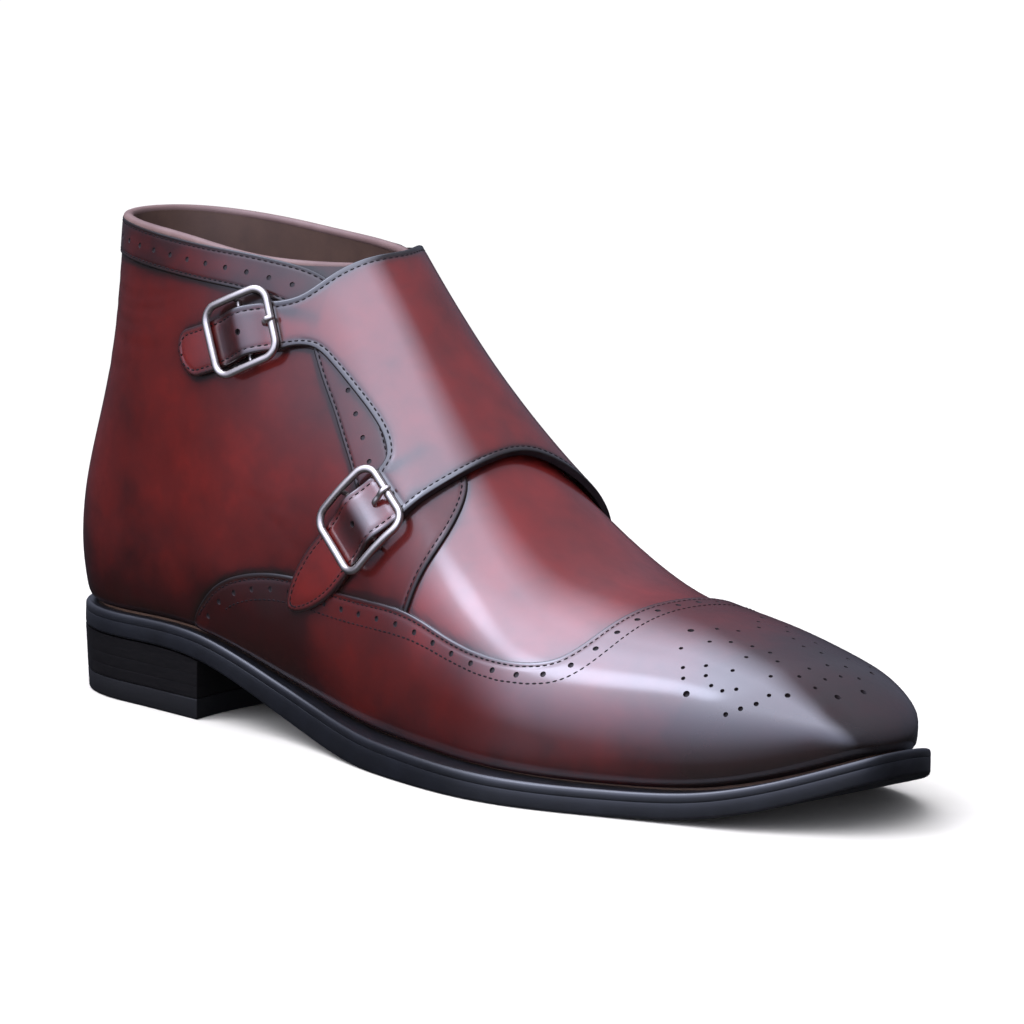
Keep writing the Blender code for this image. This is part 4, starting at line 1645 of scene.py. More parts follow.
@dataclass
class Bottom:
    """Outsole, welt, heel stack and top lift."""

    columns: int = 120
    edge: float = 0.9
    heel_length: float = 72.0
    breast_bow: float = 5.0
    lift: float = 6.0
    draw: float = 1.05
    draw_height: float = 19.0
    seat: float = 16.4
    joint: float = 0.2
    lifts: int = 3
    middle: tuple[float, float] = (34.0, 0.0)
    inner: float = 2.6

    WELT_ROLL = ((0.2, -0.3), (0.06, 0.02), (0.02, 0.3), (0.02, 1.2), (0.12, 1.75), (0.4, 2.2),
                 (0.85, 2.46), (1.3, 2.5), (1.55, 2.42), (1.8, 2.5), (2.2, 2.52))
    WELT_INNER = ((0.75, 2.5), (1.0, 2.3), (1.0, -0.3))
    TOP_LIFT = ((0.8, 0.0), (0.25, 0.2), (0.02, 0.7), (0.0, 5.5), (0.1, 5.85), (0.4, 6.0))

    def outsole(self) -> Object:
        """Draws the outsole, its edge trimmed and rounded.

        Returns:
            The outsole.
        """
        plan, middle = LAST.outline(self.columns)
        low, high, r = LAST.underside, LAST.sole_top, self.edge
        profile = [(r * (1 - math.sin(turn)), low, r * (1 - math.cos(turn))) for turn in
                   np.linspace(0, math.pi / 2, 5)]
        profile += [(0.0, high, -1.6), (0.0, high, -0.3), (0.05, high, -0.08), (0.2, high, 0.0)]
        return plate("leather_outsole", plan, middle, profile)

    def welt(self) -> Object:
        """Draws the welt: a strip round the boot with a rolled outer edge and a grooved top.

        Returns:
            The welt.
        """
        outer, middle = LAST.outline(self.columns)
        inner, _ = LAST.outline(self.columns, self.inner)
        toward, span = unit(middle - outer), np.linalg.norm(inner - outer, axis=1)
        flats = [(outer + toward * np.minimum(inset, 0.9 * span)[:, None], lift)
                 for inset, lift in self.WELT_ROLL]
        flats += [(outer + (inner - outer) * share, lift) for share, lift in self.WELT_INNER]
        rings = [np.column_stack([flat, LAST.sole_top(flat[:, 0]) + 0.5 * LAST.gap + lift])
                 for flat, lift in flats]
        rings = np.stack([*rings, rings[0]])
        return grid_piece("leather_welt", np.concatenate([rings, rings[:, :1]], axis=1), closed=True)

    def heel_loop(self) -> Array:
        """Draws the heel's plan, closed by its hollow front face.

        Returns:
            The loop (n, 2).
        """
        plan, _ = LAST.outline(self.columns)
        half = len(plan) // 2
        lateral, medial = plan[:half + 1], np.concatenate([plan[:1], plan[:half - 1:-1]])
        corners = [np.array([self.heel_length, np.interp(self.heel_length, side[:, 0], side[:, 1])])
                   for side in (lateral, medial)]
        kept = [side[side[:, 0] < self.heel_length - 1.5] for side in (lateral, medial)]
        share = np.concatenate([[0.0, 0.008], np.linspace(0.03, 0.97, 25), [0.992, 1.0]])[:, None]
        breast = corners[0] + (corners[1] - corners[0]) * share
        breast[:, 0] -= self.breast_bow * (1 - (2 * share[:, 0] - 1) ** 2)
        return np.concatenate([kept[0], breast, kept[1][:0:-1]])

    def heel(self) -> list[Object]:
        """Draws the heel in its two pieces.

        Returns:
            The stack of lifts, and the top lift that it stands on.
        """
        plan = self.heel_loop()
        centre = np.broadcast_to(self.middle, plan.shape)

        def level_at(z: float, inset: float) -> tuple[float, Callable[[Array], Array], float]:
            """Returns one level row of a heel piece's profile, drawn in as the heel's side is."""
            return self.draw * (1 - z / self.draw_height) + inset, lambda x: 0 * x + z, 0.0

        first = self.lift + self.joint
        step = (self.seat - self.lift - self.joint) / self.lifts
        stack = [level_at(first + k * step + rise, groove) for k in range(self.lifts) for groove, rise in
                 ((0.05, 0.0), (0.01, 0.12), (0.0, 0.4), (0.0, step - 0.4), (0.01, step - 0.12))]
        stack.append((0.0, lambda x: LAST.underside(x) - LAST.gap, 0.0))
        return [plate("stacked_heel", plan, centre, stack),
                plate("rubber_top_lift", plan, centre, [level_at(z, inset) for inset, z in self.TOP_LIFT])]


# ---- Finishes --------------------------------


def linear(colour: str) -> tuple[float, float, float, float]:
    """Turns an sRGB hex colour into a linear one."""
    channels = [int(colour[k:k + 2], 16) / 255 for k in (1, 3, 5)]
    return (*(c / 12.92 if c <= 0.04045 else ((c + 0.055) / 1.055) ** 2.4 for c in channels), 1.0)


def add_node(tree: NodeTree, kind: str, inputs: Optional[dict[object, object]] = None,
             stops: Sequence[tuple[float, str]] = (), **settings: object) -> Node:
    """Adds one node.

    Args:
        tree: The material's tree.
        kind: The node's type, without the word that all of them start with.
        inputs: Values, output sockets, or nodes whose first output is meant, by name or number.
        stops: Rows of place and hex colour, for a node that turns a value into colours.
        settings: Its other settings.

    Returns:
        The node.
    """
    made = tree.nodes.new("ShaderNode" + kind)
    for name, value in settings.items():
        setattr(made, name, value)
    for key, value in (inputs or {}).items():
        if isinstance(value, (Node, NodeSocket)):
            link(tree, value, made.inputs[key])
        else:
            made.inputs[key].default_value = value
    for k, (place, colour) in enumerate(stops):
        row = made.color_ramp.elements
        element = row[k] if k < len(row) else row.new(place)
        element.position, element.color = place, linear(colour)
    return made


def link(tree: NodeTree, source: Node | NodeSocket, socket: NodeSocket) -> None:
    """Links an output socket, or a node's first one, to an input socket."""
    tree.links.new(source.outputs[0] if isinstance(source, Node) else source, socket)


def start_material(name: str) -> tuple[Material, NodeTree, Node, NodeSocket]:
    """Makes an empty surface material.

    Args:
        name: What the real one is called.

    Returns:
        The material, its tree, its shader and its Object coordinates.
    """
    material = bpy.data.materials.new(name)
    material.use_nodes = True
    tree = material.node_tree
    tree.nodes.clear()
    shader = add_node(tree, "BsdfPrincipled")
    add_node(tree, "OutputMaterial", {"Surface": shader.outputs["BSDF"]})
    place = add_node(tree, "TexCoord").outputs["Object"]
    return material, tree, shader, place


def join(shader: Node, links: dict[str, Node | NodeSocket], **values: object) -> None:
    """Joins a material's patterns to its shader, and sets the shader's plain inputs.

    Args:
        shader: The shader.
        links: The node or socket that drives each input.
        values: Values of other inputs, with underscores for the spaces in their names.
    """
    for name, source in links.items():
        link(shader.id_data, source, shader.inputs[name])
    for name, value in values.items():
        shader.inputs[name.replace("_", " ")].default_value = value


@dataclass(frozen=True)
class BurnishedCalf:
    """Full-grain calf, drum dyed and then rubbed with darker polish by hand, and glazed with wax."""

    name: str = "burnished_calf_leather"
    stops: tuple[tuple[float, str], ...] = (
        (0.0, "#841c14"), (0.22, "#6c160f"), (0.45, "#4a0f0b"), (0.68, "#270908"), (0.85, "#1b0b07"),
        (1.0, "#110a07"),
    )
    roughness: float = 0.36
    gloss: float = 0.2
    wax: float = 1.0
    wax_index: float = 1.6
    cloud: float = 24.0
    cloud_share: float = 0.46
    blotch: float = 7.0
    blotch_share: float = 0.14
    grain: float = 0.9
    crease: float = 3.2
    crease_share: float = 1.6
    relief: float = 0.06

    def make(self) -> Material:
        """Mixes the leather.

        The polish lies in soft clouds, darkest beside the seams, so the per-vertex darkness of each piece,
        which also carries painted shade under and inside the buckles, is broken up by two sizes of noise.
        Pores are drawn about 0.9 mm apart, coarser than real calf, because finer ones would not show.
        The wax gives a second, sharper gloss.

        Returns:
            The leather.
        """
        material, tree, shader, place = start_material(self.name)
        # The vertex attribute read here holds the rubbed polish and, in spots, painted shade under and inside
        # the buckles.
        darkness = add_node(tree, "Attribute", attribute_name="burnish").outputs["Fac"]
        clouds = add_node(tree, "TexNoise", {
            "Vector": place, "Scale": 1 / (self.cloud * MM), "Detail": 3.0, "Roughness": 0.55})
        blotches = add_node(tree, "TexNoise", {
            "Vector": place, "Scale": 1 / (self.blotch * MM), "Detail": 4.0, "Roughness": 0.6,
            "Distortion": 0.4})
        for pattern, share in ((clouds, self.cloud_share), (blotches, self.blotch_share)):
            darkness = add_node(tree, "Math", {0: pattern, 1: share, 2: darkness}, operation="MULTIPLY_ADD")
        darkness = add_node(tree, "Math", {0: darkness, 1: (self.cloud_share + self.blotch_share) / 2},
                        operation="SUBTRACT", use_clamp=True)
        colour = add_node(tree, "ValToRGB", {"Fac": darkness}, self.stops)
        rough = add_node(tree, "MapRange", {
            "Value": blotches, "From Min": 0.3, "From Max": 0.7, "To Min": self.roughness - 0.05,
            "To Max": self.roughness + 0.06})
        pores = add_node(tree, "TexVoronoi", {
            "Vector": place, "Scale": 1 / (self.grain * MM), "Randomness": 1.0}, feature="SMOOTH_F1")
        lines = add_node(tree, "TexNoise", {
            "Vector": place, "Scale": 1 / (self.crease * MM), "Detail": 5.0, "Roughness": 0.62,
            "Distortion": 0.8})
        height = add_node(tree, "Math", {
            0: lines, 1: self.crease_share, 2: pores}, operation="MULTIPLY_ADD")
        bump = add_node(tree, "Bump", {
            "Height": height, "Strength": 0.08, "Distance": self.relief * MM})
        join(shader, {"Base Color": colour, "Roughness": rough, "Normal": bump},
             IOR=1.5, Specular_IOR_Level=self.gloss, Coat_Weight=self.wax, Coat_Roughness=0.13,
             Coat_IOR=self.wax_index)
        return material


@dataclass(frozen=True)
class PlainLeather:
    """Leather of one colour, with a fine grain: cut edges, lining, sock, sole edges."""

    name: str
    colour: str
    other: str
    roughness: float
    grain: float
    relief: float
    coat: float = 0.0
    patch: float = 9.0
    gloss: float = 0.5

    def make(self) -> Material:
        """Mixes the leather, mottled between two close colours and grained at its own scale.

        Returns:
            The leather.
        """
        material, tree, shader, place = start_material(self.name)
        cloud, grain = (add_node(tree, "TexNoise", {
            "Vector": place, "Scale": 1 / (size * MM), "Detail": detail, "Roughness": 0.6})
                        for size, detail in ((self.patch, 4.0), (self.grain, 3.0)))
        colour = add_node(tree, "ValToRGB", {"Fac": cloud}, ((0.3, self.colour), (0.72, self.other)))
        rough = add_node(tree, "MapRange", {
            "Value": grain, "To Min": self.roughness - 0.06, "To Max": self.roughness + 0.06})
        bump = add_node(tree, "Bump", {
            "Height": grain, "Strength": 0.25, "Distance": self.relief * MM})
        join(shader, {"Base Color": colour, "Roughness": rough, "Normal": bump},
             IOR=1.5, Specular_IOR_Level=self.gloss, Coat_Weight=self.coat, Coat_Roughness=0.2)
        return material


@dataclass(frozen=True)
class StackedLeather:
    """Sole-leather lifts, glued, trimmed and set with black edge ink and wax."""

    name: str = "inked_sole_leather"
    lift: float = 3.15
    joint: float = 0.94
    sunk: float = -0.28
    relief: float = 0.08

    def make(self) -> Material:
        """Mixes the leather: nearly black with a soft wax gloss, and faint level lines where lifts meet.

        Returns:
            The leather.
        """
        material, tree, shader, place = start_material(self.name)
        line = add_node(tree, "SeparateXYZ", {"Vector": place}).outputs["Z"]
        for operation, inputs in (("MULTIPLY", {1: 2 * math.pi / (self.lift * MM)}), ("COSINE", {}),
                                  ("GREATER_THAN", {1: self.joint})):
            line = add_node(tree, "Math", {0: line, **inputs}, operation=operation)
        fibres = add_node(tree, "Mapping", {"Vector": place, "Scale": (250.0, 250.0, 1400.0)})
        fibre = add_node(tree, "TexNoise", {
            "Vector": fibres, "Scale": 1.0, "Detail": 4.0, "Roughness": 0.65})
        colour = add_node(tree, "ValToRGB", {"Fac": fibre}, ((0.25, "#080707"), (0.8, "#110e0d")))
        rough = add_node(tree, "MapRange", {"Value": fibre, "To Min": 0.4, "To Max": 0.56})
        height = add_node(tree, "Math", {0: line, 1: self.sunk, 2: fibre}, operation="MULTIPLY_ADD")
        bump = add_node(tree, "Bump", {
            "Height": height, "Strength": 0.3, "Distance": self.relief * MM})
        join(shader, {"Base Color": colour, "Roughness": rough, "Normal": bump},
             IOR=1.4, Specular_IOR_Level=0.22)
        return material


@dataclass(frozen=True)
class PolishedNickel:
    """Cast brass wire, nickel plated and polished, with a light haze from handling."""

    name: str = "polished_nickel_plate"
    colour: str = "#bdb4ac"
    other: str = "#a8a099"

    def make(self) -> Material:
        """Mixes the plating: a clear mirror, a little duller in patches about 3 mm across.

        Returns:
            The plating.
        """
        material, tree, shader, place = start_material(self.name)
        haze = add_node(tree, "TexNoise", {"Vector": place, "Scale": 330.0, "Detail": 4.0})
        rough = add_node(tree, "MapRange", {
            "Value": haze, "From Min": 0.3, "From Max": 0.7, "To Min": 0.26, "To Max": 0.38})
        colour = add_node(tree, "ValToRGB", {"Fac": haze}, ((0.3, self.colour), (0.8, self.other)))
        join(shader, {"Base Color": colour, "Roughness": rough}, Metallic=1.0)
        return material


@dataclass(frozen=True)
class WaxedThread:
    """Bonded nylon thread, twisted from strands and waxed."""

    name: str
    colour: str
    other: str

    def make(self) -> Material:
        """Mixes the thread: dark, half matt, with its twist about 0.5 mm apart.

        Returns:
            The thread.
        """
        material, tree, shader, place = start_material(self.name)
        twist = add_node(tree, "TexWave", {"Vector": place, "Scale": 320.0, "Distortion": 1.5},
                         bands_direction="DIAGONAL").outputs["Fac"]
        colour = add_node(tree, "ValToRGB", {"Fac": twist}, ((0.2, self.colour), (0.9, self.other)))
        bump = add_node(tree, "Bump", {"Height": twist, "Strength": 0.4, "Distance": 0.05 * MM})
        join(shader, {"Base Color": colour, "Normal": bump},
             Roughness=0.75, Specular_IOR_Level=0.2)
        return material


@dataclass(frozen=True)
class MouldedRubber:
    """Black heel rubber, moulded with a fine matt skin."""

    name: str = "moulded_heel_rubber"
    colour: str = "#090808"
    other: str = "#110f0f"

    def make(self) -> Material:
        """Mixes the rubber: a flat black with specks about 0.6 mm across.

        Returns:
            The rubber.
        """
        material, tree, shader, place = start_material(self.name)
        speck = add_node(tree, "TexNoise", {"Vector": place, "Scale": 1600.0, "Detail": 3.0})
        colour = add_node(tree, "ValToRGB", {"Fac": speck}, ((0.3, self.colour), (0.75, self.other)))
        rough = add_node(tree, "MapRange", {"Value": speck, "To Min": 0.5, "To Max": 0.68})
        bump = add_node(tree, "Bump", {"Height": speck, "Strength": 0.2, "Distance": 0.04 * MM})
        join(shader, {"Base Color": colour, "Roughness": rough, "Normal": bump}, Specular_IOR_Level=0.3)
        return material


@dataclass(frozen=True)
class StudioFloor:
    """Seamless pale paper under the boot, lit up to plain white further away."""

    name: str = "studio_paper"
    colour: str = "#cbc4b0"
    other: str = "#d0c9b6"
    near: float = 0.30
    far: float = 0.75

    def make(self) -> Material:
        """Mixes the paper: matt and nearly white, with a faint tooth, glowing away from the boot.

        Returns:
            The paper.
        """
        material, tree, shader, place = start_material(self.name)
        tooth = add_node(tree, "TexNoise", {"Vector": place, "Scale": 60.0, "Detail": 3.0})
        away = add_node(tree, "VectorMath", {0: place}, operation="LENGTH").outputs["Value"]
        glow = add_node(tree, "MapRange", {"Value": away, "From Min": self.near, "From Max": self.far},
                        interpolation_type="SMOOTHSTEP")
        paper = add_node(tree, "ValToRGB", {"Fac": tooth}, ((0.2, self.colour), (0.8, self.other)))
        colour = add_node(tree, "Mix", {
            "Factor": glow, "A": paper, "B": (0.0, 0.0, 0.0, 1.0)}, data_type="RGBA")
        join(shader, {"Base Color": colour.outputs["Result"], "Emission Strength": glow},
             Roughness=0.9, Specular_IOR_Level=0.2, Emission_Color=linear("#ffffff"))
        return material


@dataclass(frozen=True)
class BurnishAndShade:
    """How dark a piece is made, and where: rubbed darker along seams, cut edges, toe, heel and collar, darker
    towards the feather line, and darker in spots, which under and inside the buckles are painted shade. All
    amounts are shares of the full darkness.
    """

    base: float
    seam: float = 0.2
    reach: float = 2.2
    edge: float = 0.4
    edge_reach: float = 0.8
    spots: tuple[tuple[float, float, float, float], ...] = ()
    foot: float = 0.5
    foot_reach: float = 11.0
    toe: float = 0.5
    heel: float = 0.18
    heel_reach: float = 18.0
    collar: float = 0.14
    collar_reach: float = 9.0

    TOE_START, TOE_RUN, COLLAR_END = 232.0, 52.0, 112.0

    def darken(self, piece: Object, seams: KDTree) -> None:
        """Writes the darkness of every vertex, rubbed polish and painted shade alike, into the piece's own
        attribute.

        Args:
            piece: The leather.
            seams: Search tree of the seam lines.
        """
        places = mesh_places(piece)
        x, z = places[:, 0], places[:, 2]
        away = np.array([seams.find(place)[2] for place in places])
        dark = self.base + self.seam * np.exp(-away / self.reach)
        dark += self.edge * np.exp(-(away / self.edge_reach) ** 2)
        # Extra darkness in spots: under and inside the buckles this is painted shade.
        for spot_x, spot_z, reach, amount in self.spots:
            dark += amount * np.exp(-(((x - spot_x) ** 2 + (z - spot_z) ** 2) / reach ** 2) ** 2)
        dark += self.foot * np.exp(-np.maximum(z - LAST.feather(x), 0) / self.foot_reach)
        dark += self.toe * smooth((x - self.TOE_START) / self.TOE_RUN)
        dark += self.heel * np.exp(-np.maximum(x - LAST.back(z), 0) / self.heel_reach)
        under = np.maximum(LAST.collar(Side.MEDIAL, x) - z, 0)
        dark += self.collar * np.exp(-under / self.collar_reach) * (x < self.COLLAR_END)
        values = np.clip(dark, 0, 1).astype(np.float32)
        piece.data.attributes.new("burnish", "FLOAT", "POINT").data.foreach_set("value", values)


# ---- Assembly --------------------------------


class Finish(Enum):
    """Every finish on the boot."""

    CALF = BurnishedCalf()
    BRUSHED = BurnishedCalf("brushed_calf_leather", roughness=0.42, gloss=0.14, wax=0.34)
    RUBBED = BurnishedCalf("rubbed_calf_leather", roughness=0.4, gloss=0.16, wax=0.5)
    MIRROR = BurnishedCalf("mirror_polished_calf_leather", wax_index=1.68)
    # Near-black finish of the punched pits: painted shade for the dark inside the holes.
    HOLE_SHADE = PlainLeather("painted_hole_shade", "#120a0a", "#20100f", 0.7, 0.6, 0.03)
    INKED = PlainLeather("inked_cut_edge", "#140d0f", "#21171a", 0.55, 0.5, 0.03, gloss=0.16)
    BINDING = PlainLeather("folded_collar_binding", "#68504a", "#775f57", 0.5, 0.8, 0.05, gloss=0.3)
    LINING = PlainLeather("glazed_kid_lining", "#4c372c", "#5a4234", 0.62, 0.9, 0.06)
    SOCK = PlainLeather("vegetable_tanned_sock", "#6a4c36", "#7a5a41", 0.55, 0.8, 0.05)
    EDGE = PlainLeather("blacked_sole_edge", "#0a0a0c", "#121317", 0.34, 0.7, 0.05, 0.35)
    STACK = StackedLeather()
    NICKEL = PolishedNickel()
    THREAD = WaxedThread("waxed_maroon_thread", "#0b0506", "#1a0b0d")
    RUBBER = MouldedRubber()
    FLOOR = StudioFloor()


class AnkleBoot:
    """The whole boot: leather panels, straps and buckles, lining and sole."""

    QUARTERS = {
        Side.LATERAL: ((161, 0), (162.2, 30), (164.4, 45), (166.4, 55.5), (168.1, 64.3), (166.6, 72.5),
                       (163.8, 77.3), (155, 84.5), (142, 98.5), (128, 117), (118, 131.2)),
        Side.MEDIAL: ((161, 0), (161, 30), (161, 52), (162.5, 63), (162, 73), (159, 80), (152, 89),
                      (142, 98.5), (128, 117), (118, 131.2)),
    }
    # Painted shade under the two buckles, as x, z, reach and amount: it darkens the quarter and the facing
    # band beneath each buckle.
    BUCKLE_SHADE = ((89.4, 111.7, 9.5, 0.4), (142.2, 65.4, 10.5, 0.45))
    BURNISH_AND_SHADE = {
        "vamp": BurnishAndShade(0.31, seam=0.22, foot=0.3),
        "lateral_quarter": BurnishAndShade(0.44, foot=0.42, foot_reach=18.0, spots=BUCKLE_SHADE),
        "medial_quarter": BurnishAndShade(0.44, foot=0.42, foot_reach=18.0),
        "wing_cap": BurnishAndShade(0.45, seam=0.1, foot=0.22, toe=0.34, spots=((98.0, 34.0, 26.0, 0.2),)),
        "facing_band": BurnishAndShade(0.54, seam=0.14, foot=0.0, toe=0.0, collar=0.1, spots=BUCKLE_SHADE),
        "flap": BurnishAndShade(0.37, seam=0.18, edge=0.7, edge_reach=1.9, foot=0.0, collar=0.08),
        # The strap spots are painted shade: they darken each strap where it runs inside its buckle frame.
        "upper_strap": BurnishAndShade(0.33, seam=0.16, foot=0.0, heel=0.0, collar=0.0,
                               spots=((89.4, 111.7, 9.0, 0.34),)),
        "lower_strap": BurnishAndShade(0.34, seam=0.16, foot=0.0, heel=0.0, collar=0.0,
                               spots=((141.5, 64.4, 8.0, 0.36),)),
    }

    def __init__(self) -> None:
        """Sets out the straps, which the flap and the buckles follow."""
        self.upper_strap = Strap("upper", 89.4, 111.7, -0.90, -0.44, 25.0, 0.75, width=14.2, bow_root=3.6,
                                 bow_tail=-2.5, hole=0.3, prong=(-8.0, -12.0), covered=9.9)
        self.lower_strap = Strap("lower", 142.2, 65.4, -0.61, -0.79, 37.5, 2.4, width=16.2, bow_root=0.0,
                                 bow_tail=-4.2, hole=2.0, prong=(-6.4, -13.0), covered=10.6, point=1.7)
        self.thread = Thread("seam_stitches")
        self.leather: list[tuple[Object, int]] = []
        self.sewn = 0

    def add(self, piece: Object, slot: str, finish: Finish) -> None:
        """Gives one piece its finish, ties it to the boot and reports it.

        Args:
            piece: The piece.
            slot: The record's material slot; not used.
            finish: Its finish, apart from those of its cut edges and holes.
        """
        material = bpy.data.materials[finish.value.name]
        if piece.data.materials:
            piece.data.materials[0] = material
        else:
            piece.data.materials.append(material)
        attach(piece, "root")
        if piece.name in self.BURNISH_AND_SHADE:
            self.leather.append((piece, self.sewn))
        self.sewn = len(SEAMS)
        LOG.info("%s: %d faces", piece.name, len(piece.data.polygons))

    def upper(self) -> None:
        """Builds the leather of the upper: vamp, quarters, wing cap and facing band."""
        vamp = Vamp().build()
        self.add(vamp, "upper_leather", Finish.CALF)
        for side in Side:
            self.add(Quarter(side, self.QUARTERS[side]).build(self.thread), "upper_leather", Finish.BRUSHED)
        self.add(FacingBand().build(self.thread), "upper_leather", Finish.RUBBED)
        self.add(WingCap().build(self.thread), "upper_leather", Finish.MIRROR)
        self.add(CollarBinding().build(), "upper_leather", Finish.BINDING)
        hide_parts("upper")

    def closing(self) -> None:
        """Builds the flap, its two straps and their buckles."""
        flap = Flap(self.upper_strap, self.lower_strap).build(self.thread)
        self.add(flap, "strap_leather", Finish.CALF)
        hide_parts("strap_flap")
        for strap, size in ((self.upper_strap, (21.4, 20.4)), (self.lower_strap, (22.8, 22.2))):
            self.add(strap.build(self.thread), "strap_leather", Finish.CALF)
            made = Buckle(strap, *size).build()
            self.add(made["frame"], "buckle_metal", Finish.NICKEL)
            self.add(made["prong"], "buckle_metal", Finish.NICKEL)
            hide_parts(strap.name + "_buckle")
            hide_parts(strap.name + "_prong")

    def inside(self) -> None:
        """Builds the lining and the sock."""
        lining = Lining()
        piece = lining.build()
        soften(piece, 50)
        self.add(piece, "upper_leather", Finish.LINING)
        sock = lining.sock()
        soften(sock, 50)
        self.add(sock, "insole_leather", Finish.SOCK)
        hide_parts("insole")

    def bottom(self) -> None:
        """Builds outsole, welt, heel stack and top lift."""
        bottom = Bottom()
        stack, lift = bottom.heel()
        for piece, node, slot, finish in ((bottom.outsole(), "outsole", "sole_leather", Finish.EDGE),
                                          (bottom.welt(), "welt", "welt_leather", Finish.EDGE),
                                          (stack, "heel_stack", "heel_leather", Finish.STACK),
                                          (lift, "heel_top_lift", "top_lift_rubber", Finish.RUBBER)):
            soften(piece, 45)
            self.add(piece, slot, finish)
            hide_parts(node)

    def finish_leather(self) -> None:
        """Adds the thread, and darkens each leather piece along its seams and those lying on it, with painted
        shade where it lies under or inside a buckle.
        """
        self.add(self.thread.build(), "upper_leather", Finish.THREAD)
        for piece, first in self.leather:
            soften(piece, 48)
            seams = search_tree(np.concatenate([resample(line, 0.6) for line in SEAMS[first:]]))
            self.BURNISH_AND_SHADE[piece.name].darken(piece, seams)


# ---- Studio ----------------------------------


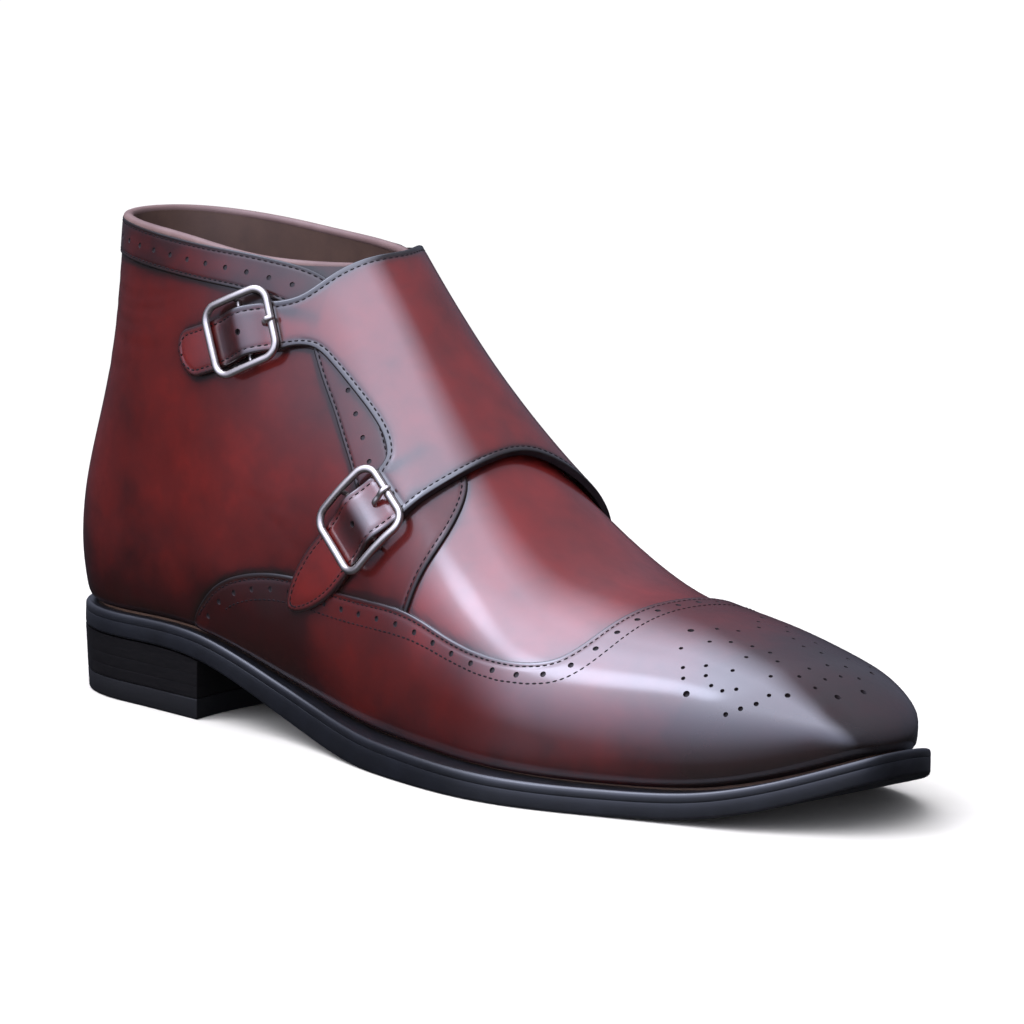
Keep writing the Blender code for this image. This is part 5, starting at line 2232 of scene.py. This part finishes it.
@dataclass
class Studio:
    """Pale paper floor, soft lights, and the camera low beside the toe."""

    azimuth: float = 45.0
    elevation: float = 8.77
    roll: float = 0.86
    distance: float = 1425.3
    lens: float = 182.1
    target: tuple[float, float, float] = (150.0, 0.0, 60.0)
    aim: tuple[float, float] = (8.4, 5.5)
    room_strength: float = 5.7
    lamp_from: tuple[float, float, float] = (-66.0, 60.0, 1.5)
    lamp_size: tuple[float, float] = (0.9, 0.55)
    lamp_power: float = 1.3
    lamp_colour: str = "#dde2ff"
    ROOM = (
        (0.1, "#26272b"), (0.22, "#474a54"), (0.333, "#707485"), (0.449, "#8a8fa5"), (0.561, "#9da3ba"),
        (0.667, "#b2b8d1"), (0.762, "#c8cee6"), (0.844, "#dfe5ff"),
    )
    WINDOWS = ((-56.0, 53.0, 4.0, 28.0, 0.34), (-32.0, 53.0, 0.0, 12.0, 1.0))
    WALL, WALL_START, WALL_END, WALL_SHARE = (0.42, 0.907, 0.0), -0.02, 0.36, 0.1
    AISLE_START, AISLE_END, AISLE_SHARE = -0.42, -0.82, 0.12

    def floor(self) -> None:
        """Lays the paper floor."""
        bpy.ops.object.select_all(action="DESELECT")
        bpy.ops.mesh.primitive_plane_add(size=24.0)
        floor = bpy.context.object
        floor.name = "studio_floor"
        floor.data.materials.append(bpy.data.materials[Finish.FLOOR.value.name])
        floor.visible_glossy = False

    @staticmethod
    def towards(azimuth: float, elevation: float) -> tuple[float, float, float]:
        """Returns a direction from the boot, where azimuth 0 is its outer side and 90 its toe."""
        a, e = math.radians(azimuth), math.radians(elevation)
        return math.sin(a) * math.cos(e), -math.cos(a) * math.cos(e), math.sin(e)

    def lamp(self) -> None:
        """Hangs the window light that casts the shadow."""
        azimuth, elevation, away = self.lamp_from
        back = Vector(self.towards(azimuth, elevation))
        light = bpy.data.lights.new("window_light", "AREA")
        light.shape, light.size, light.size_y = "RECTANGLE", *self.lamp_size
        light.energy, light.color = self.lamp_power, linear(self.lamp_colour)[:3]
        lamp = bpy.data.objects.new("window_light", light)
        lamp.location = back * away + Vector((0.0, 0.0, 0.05))
        lamp.rotation_mode = "QUATERNION"
        lamp.rotation_quaternion = back.to_track_quat("Z", "Y")
        lamp.visible_glossy = False
        bpy.context.scene.collection.objects.link(lamp)

    def room(self) -> None:
        """Sets the room's own glow: brighter upwards, with a dark wall, a dark aisle and two windows."""
        world = bpy.data.worlds.new("pale_room")
        bpy.context.scene.world = world
        world.use_nodes = True
        tree = world.node_tree
        way = add_node(tree, "TexCoord").outputs["Generated"]
        parts = add_node(tree, "SeparateXYZ", {"Vector": way}).outputs
        share = add_node(tree, "MapRange", {"Value": parts["Z"], "From Min": -0.5, "From Max": 1.0})
        sky = add_node(tree, "ValToRGB", {"Fac": share}, self.ROOM)
        far = add_node(tree, "VectorMath", {0: way, 1: self.WALL}, operation="DOT_PRODUCT")
        wall = add_node(tree, "MapRange", {
            "Value": far.outputs["Value"], "From Min": self.WALL_START, "From Max": self.WALL_END,
            "To Min": self.room_strength, "To Max": self.WALL_SHARE * self.room_strength})
        aisle = add_node(tree, "MapRange", {
            "Value": parts["X"], "From Min": self.AISLE_START, "From Max": self.AISLE_END, "To Min": 1.0,
            "To Max": self.AISLE_SHARE})
        glow: object = 1.0
        for azimuth, elevation, inner, outer, gain in self.WINDOWS:
            near = add_node(tree, "VectorMath", {0: way, 1: self.towards(azimuth, elevation)},
                            operation="DOT_PRODUCT")
            pane = add_node(tree, "MapRange", {
                "Value": near.outputs["Value"], "From Min": math.cos(math.radians(outer)),
                "From Max": math.cos(math.radians(inner)), "To Max": gain}, interpolation_type="SMOOTHSTEP")
            glow = add_node(tree, "Math", {0: pane, 1: glow}, operation="ADD")
        strength = wall
        for share in (aisle, glow):
            strength = add_node(tree, "Math", {0: strength, 1: share}, operation="MULTIPLY")
        join(tree.nodes["Background"], {"Color": sky, "Strength": strength})
        bpy.context.scene.view_settings.view_transform = "Standard"

    def camera(self) -> None:
        """Sets the camera beside the toe, a little above the boot's instep."""
        a, r = math.radians(self.azimuth), math.radians(self.roll)
        back = np.array(self.towards(self.azimuth, self.elevation))
        right = np.array([math.cos(a), math.sin(a), 0.0])
        place = np.array(self.target) + back * self.distance
        aimed = np.array(self.target) + right * self.aim[0] + np.cross(back, right) * self.aim[1]
        back = (place - aimed) / np.linalg.norm(place - aimed)
        right = np.cross([0.0, 0.0, 1.0], back)
        right /= np.linalg.norm(right)
        up = np.cross(back, right)
        across, rising = right * math.cos(r) + up * math.sin(r), up * math.cos(r) - right * math.sin(r)
        lens = bpy.data.cameras.new("product_camera")
        lens.lens, lens.sensor_width, lens.clip_start, lens.clip_end = self.lens, 36.0, 0.05, 30.0
        body = bpy.data.objects.new("product_camera", lens)
        turn = np.eye(4)
        turn[:3, 0], turn[:3, 1], turn[:3, 2] = across, rising, back
        turn[:3, 3] = (place + LAST.shift) * MM
        body.matrix_world = Matrix(turn.tolist())
        bpy.context.scene.collection.objects.link(body)
        bpy.context.scene.camera = body


def main() -> None:
    """Builds the boot and its studio, in order."""
    logging.basicConfig(level=logging.INFO, format="%(name)s: %(message)s")
    for finish in Finish:
        finish.value.make()
    boot = AnkleBoot()
    boot.upper()
    boot.closing()
    boot.inside()
    boot.bottom()
    boot.finish_leather()
    studio = Studio()
    studio.floor()
    studio.lamp()
    studio.room()
    studio.camera()


if __name__ == "__main__":
    main()
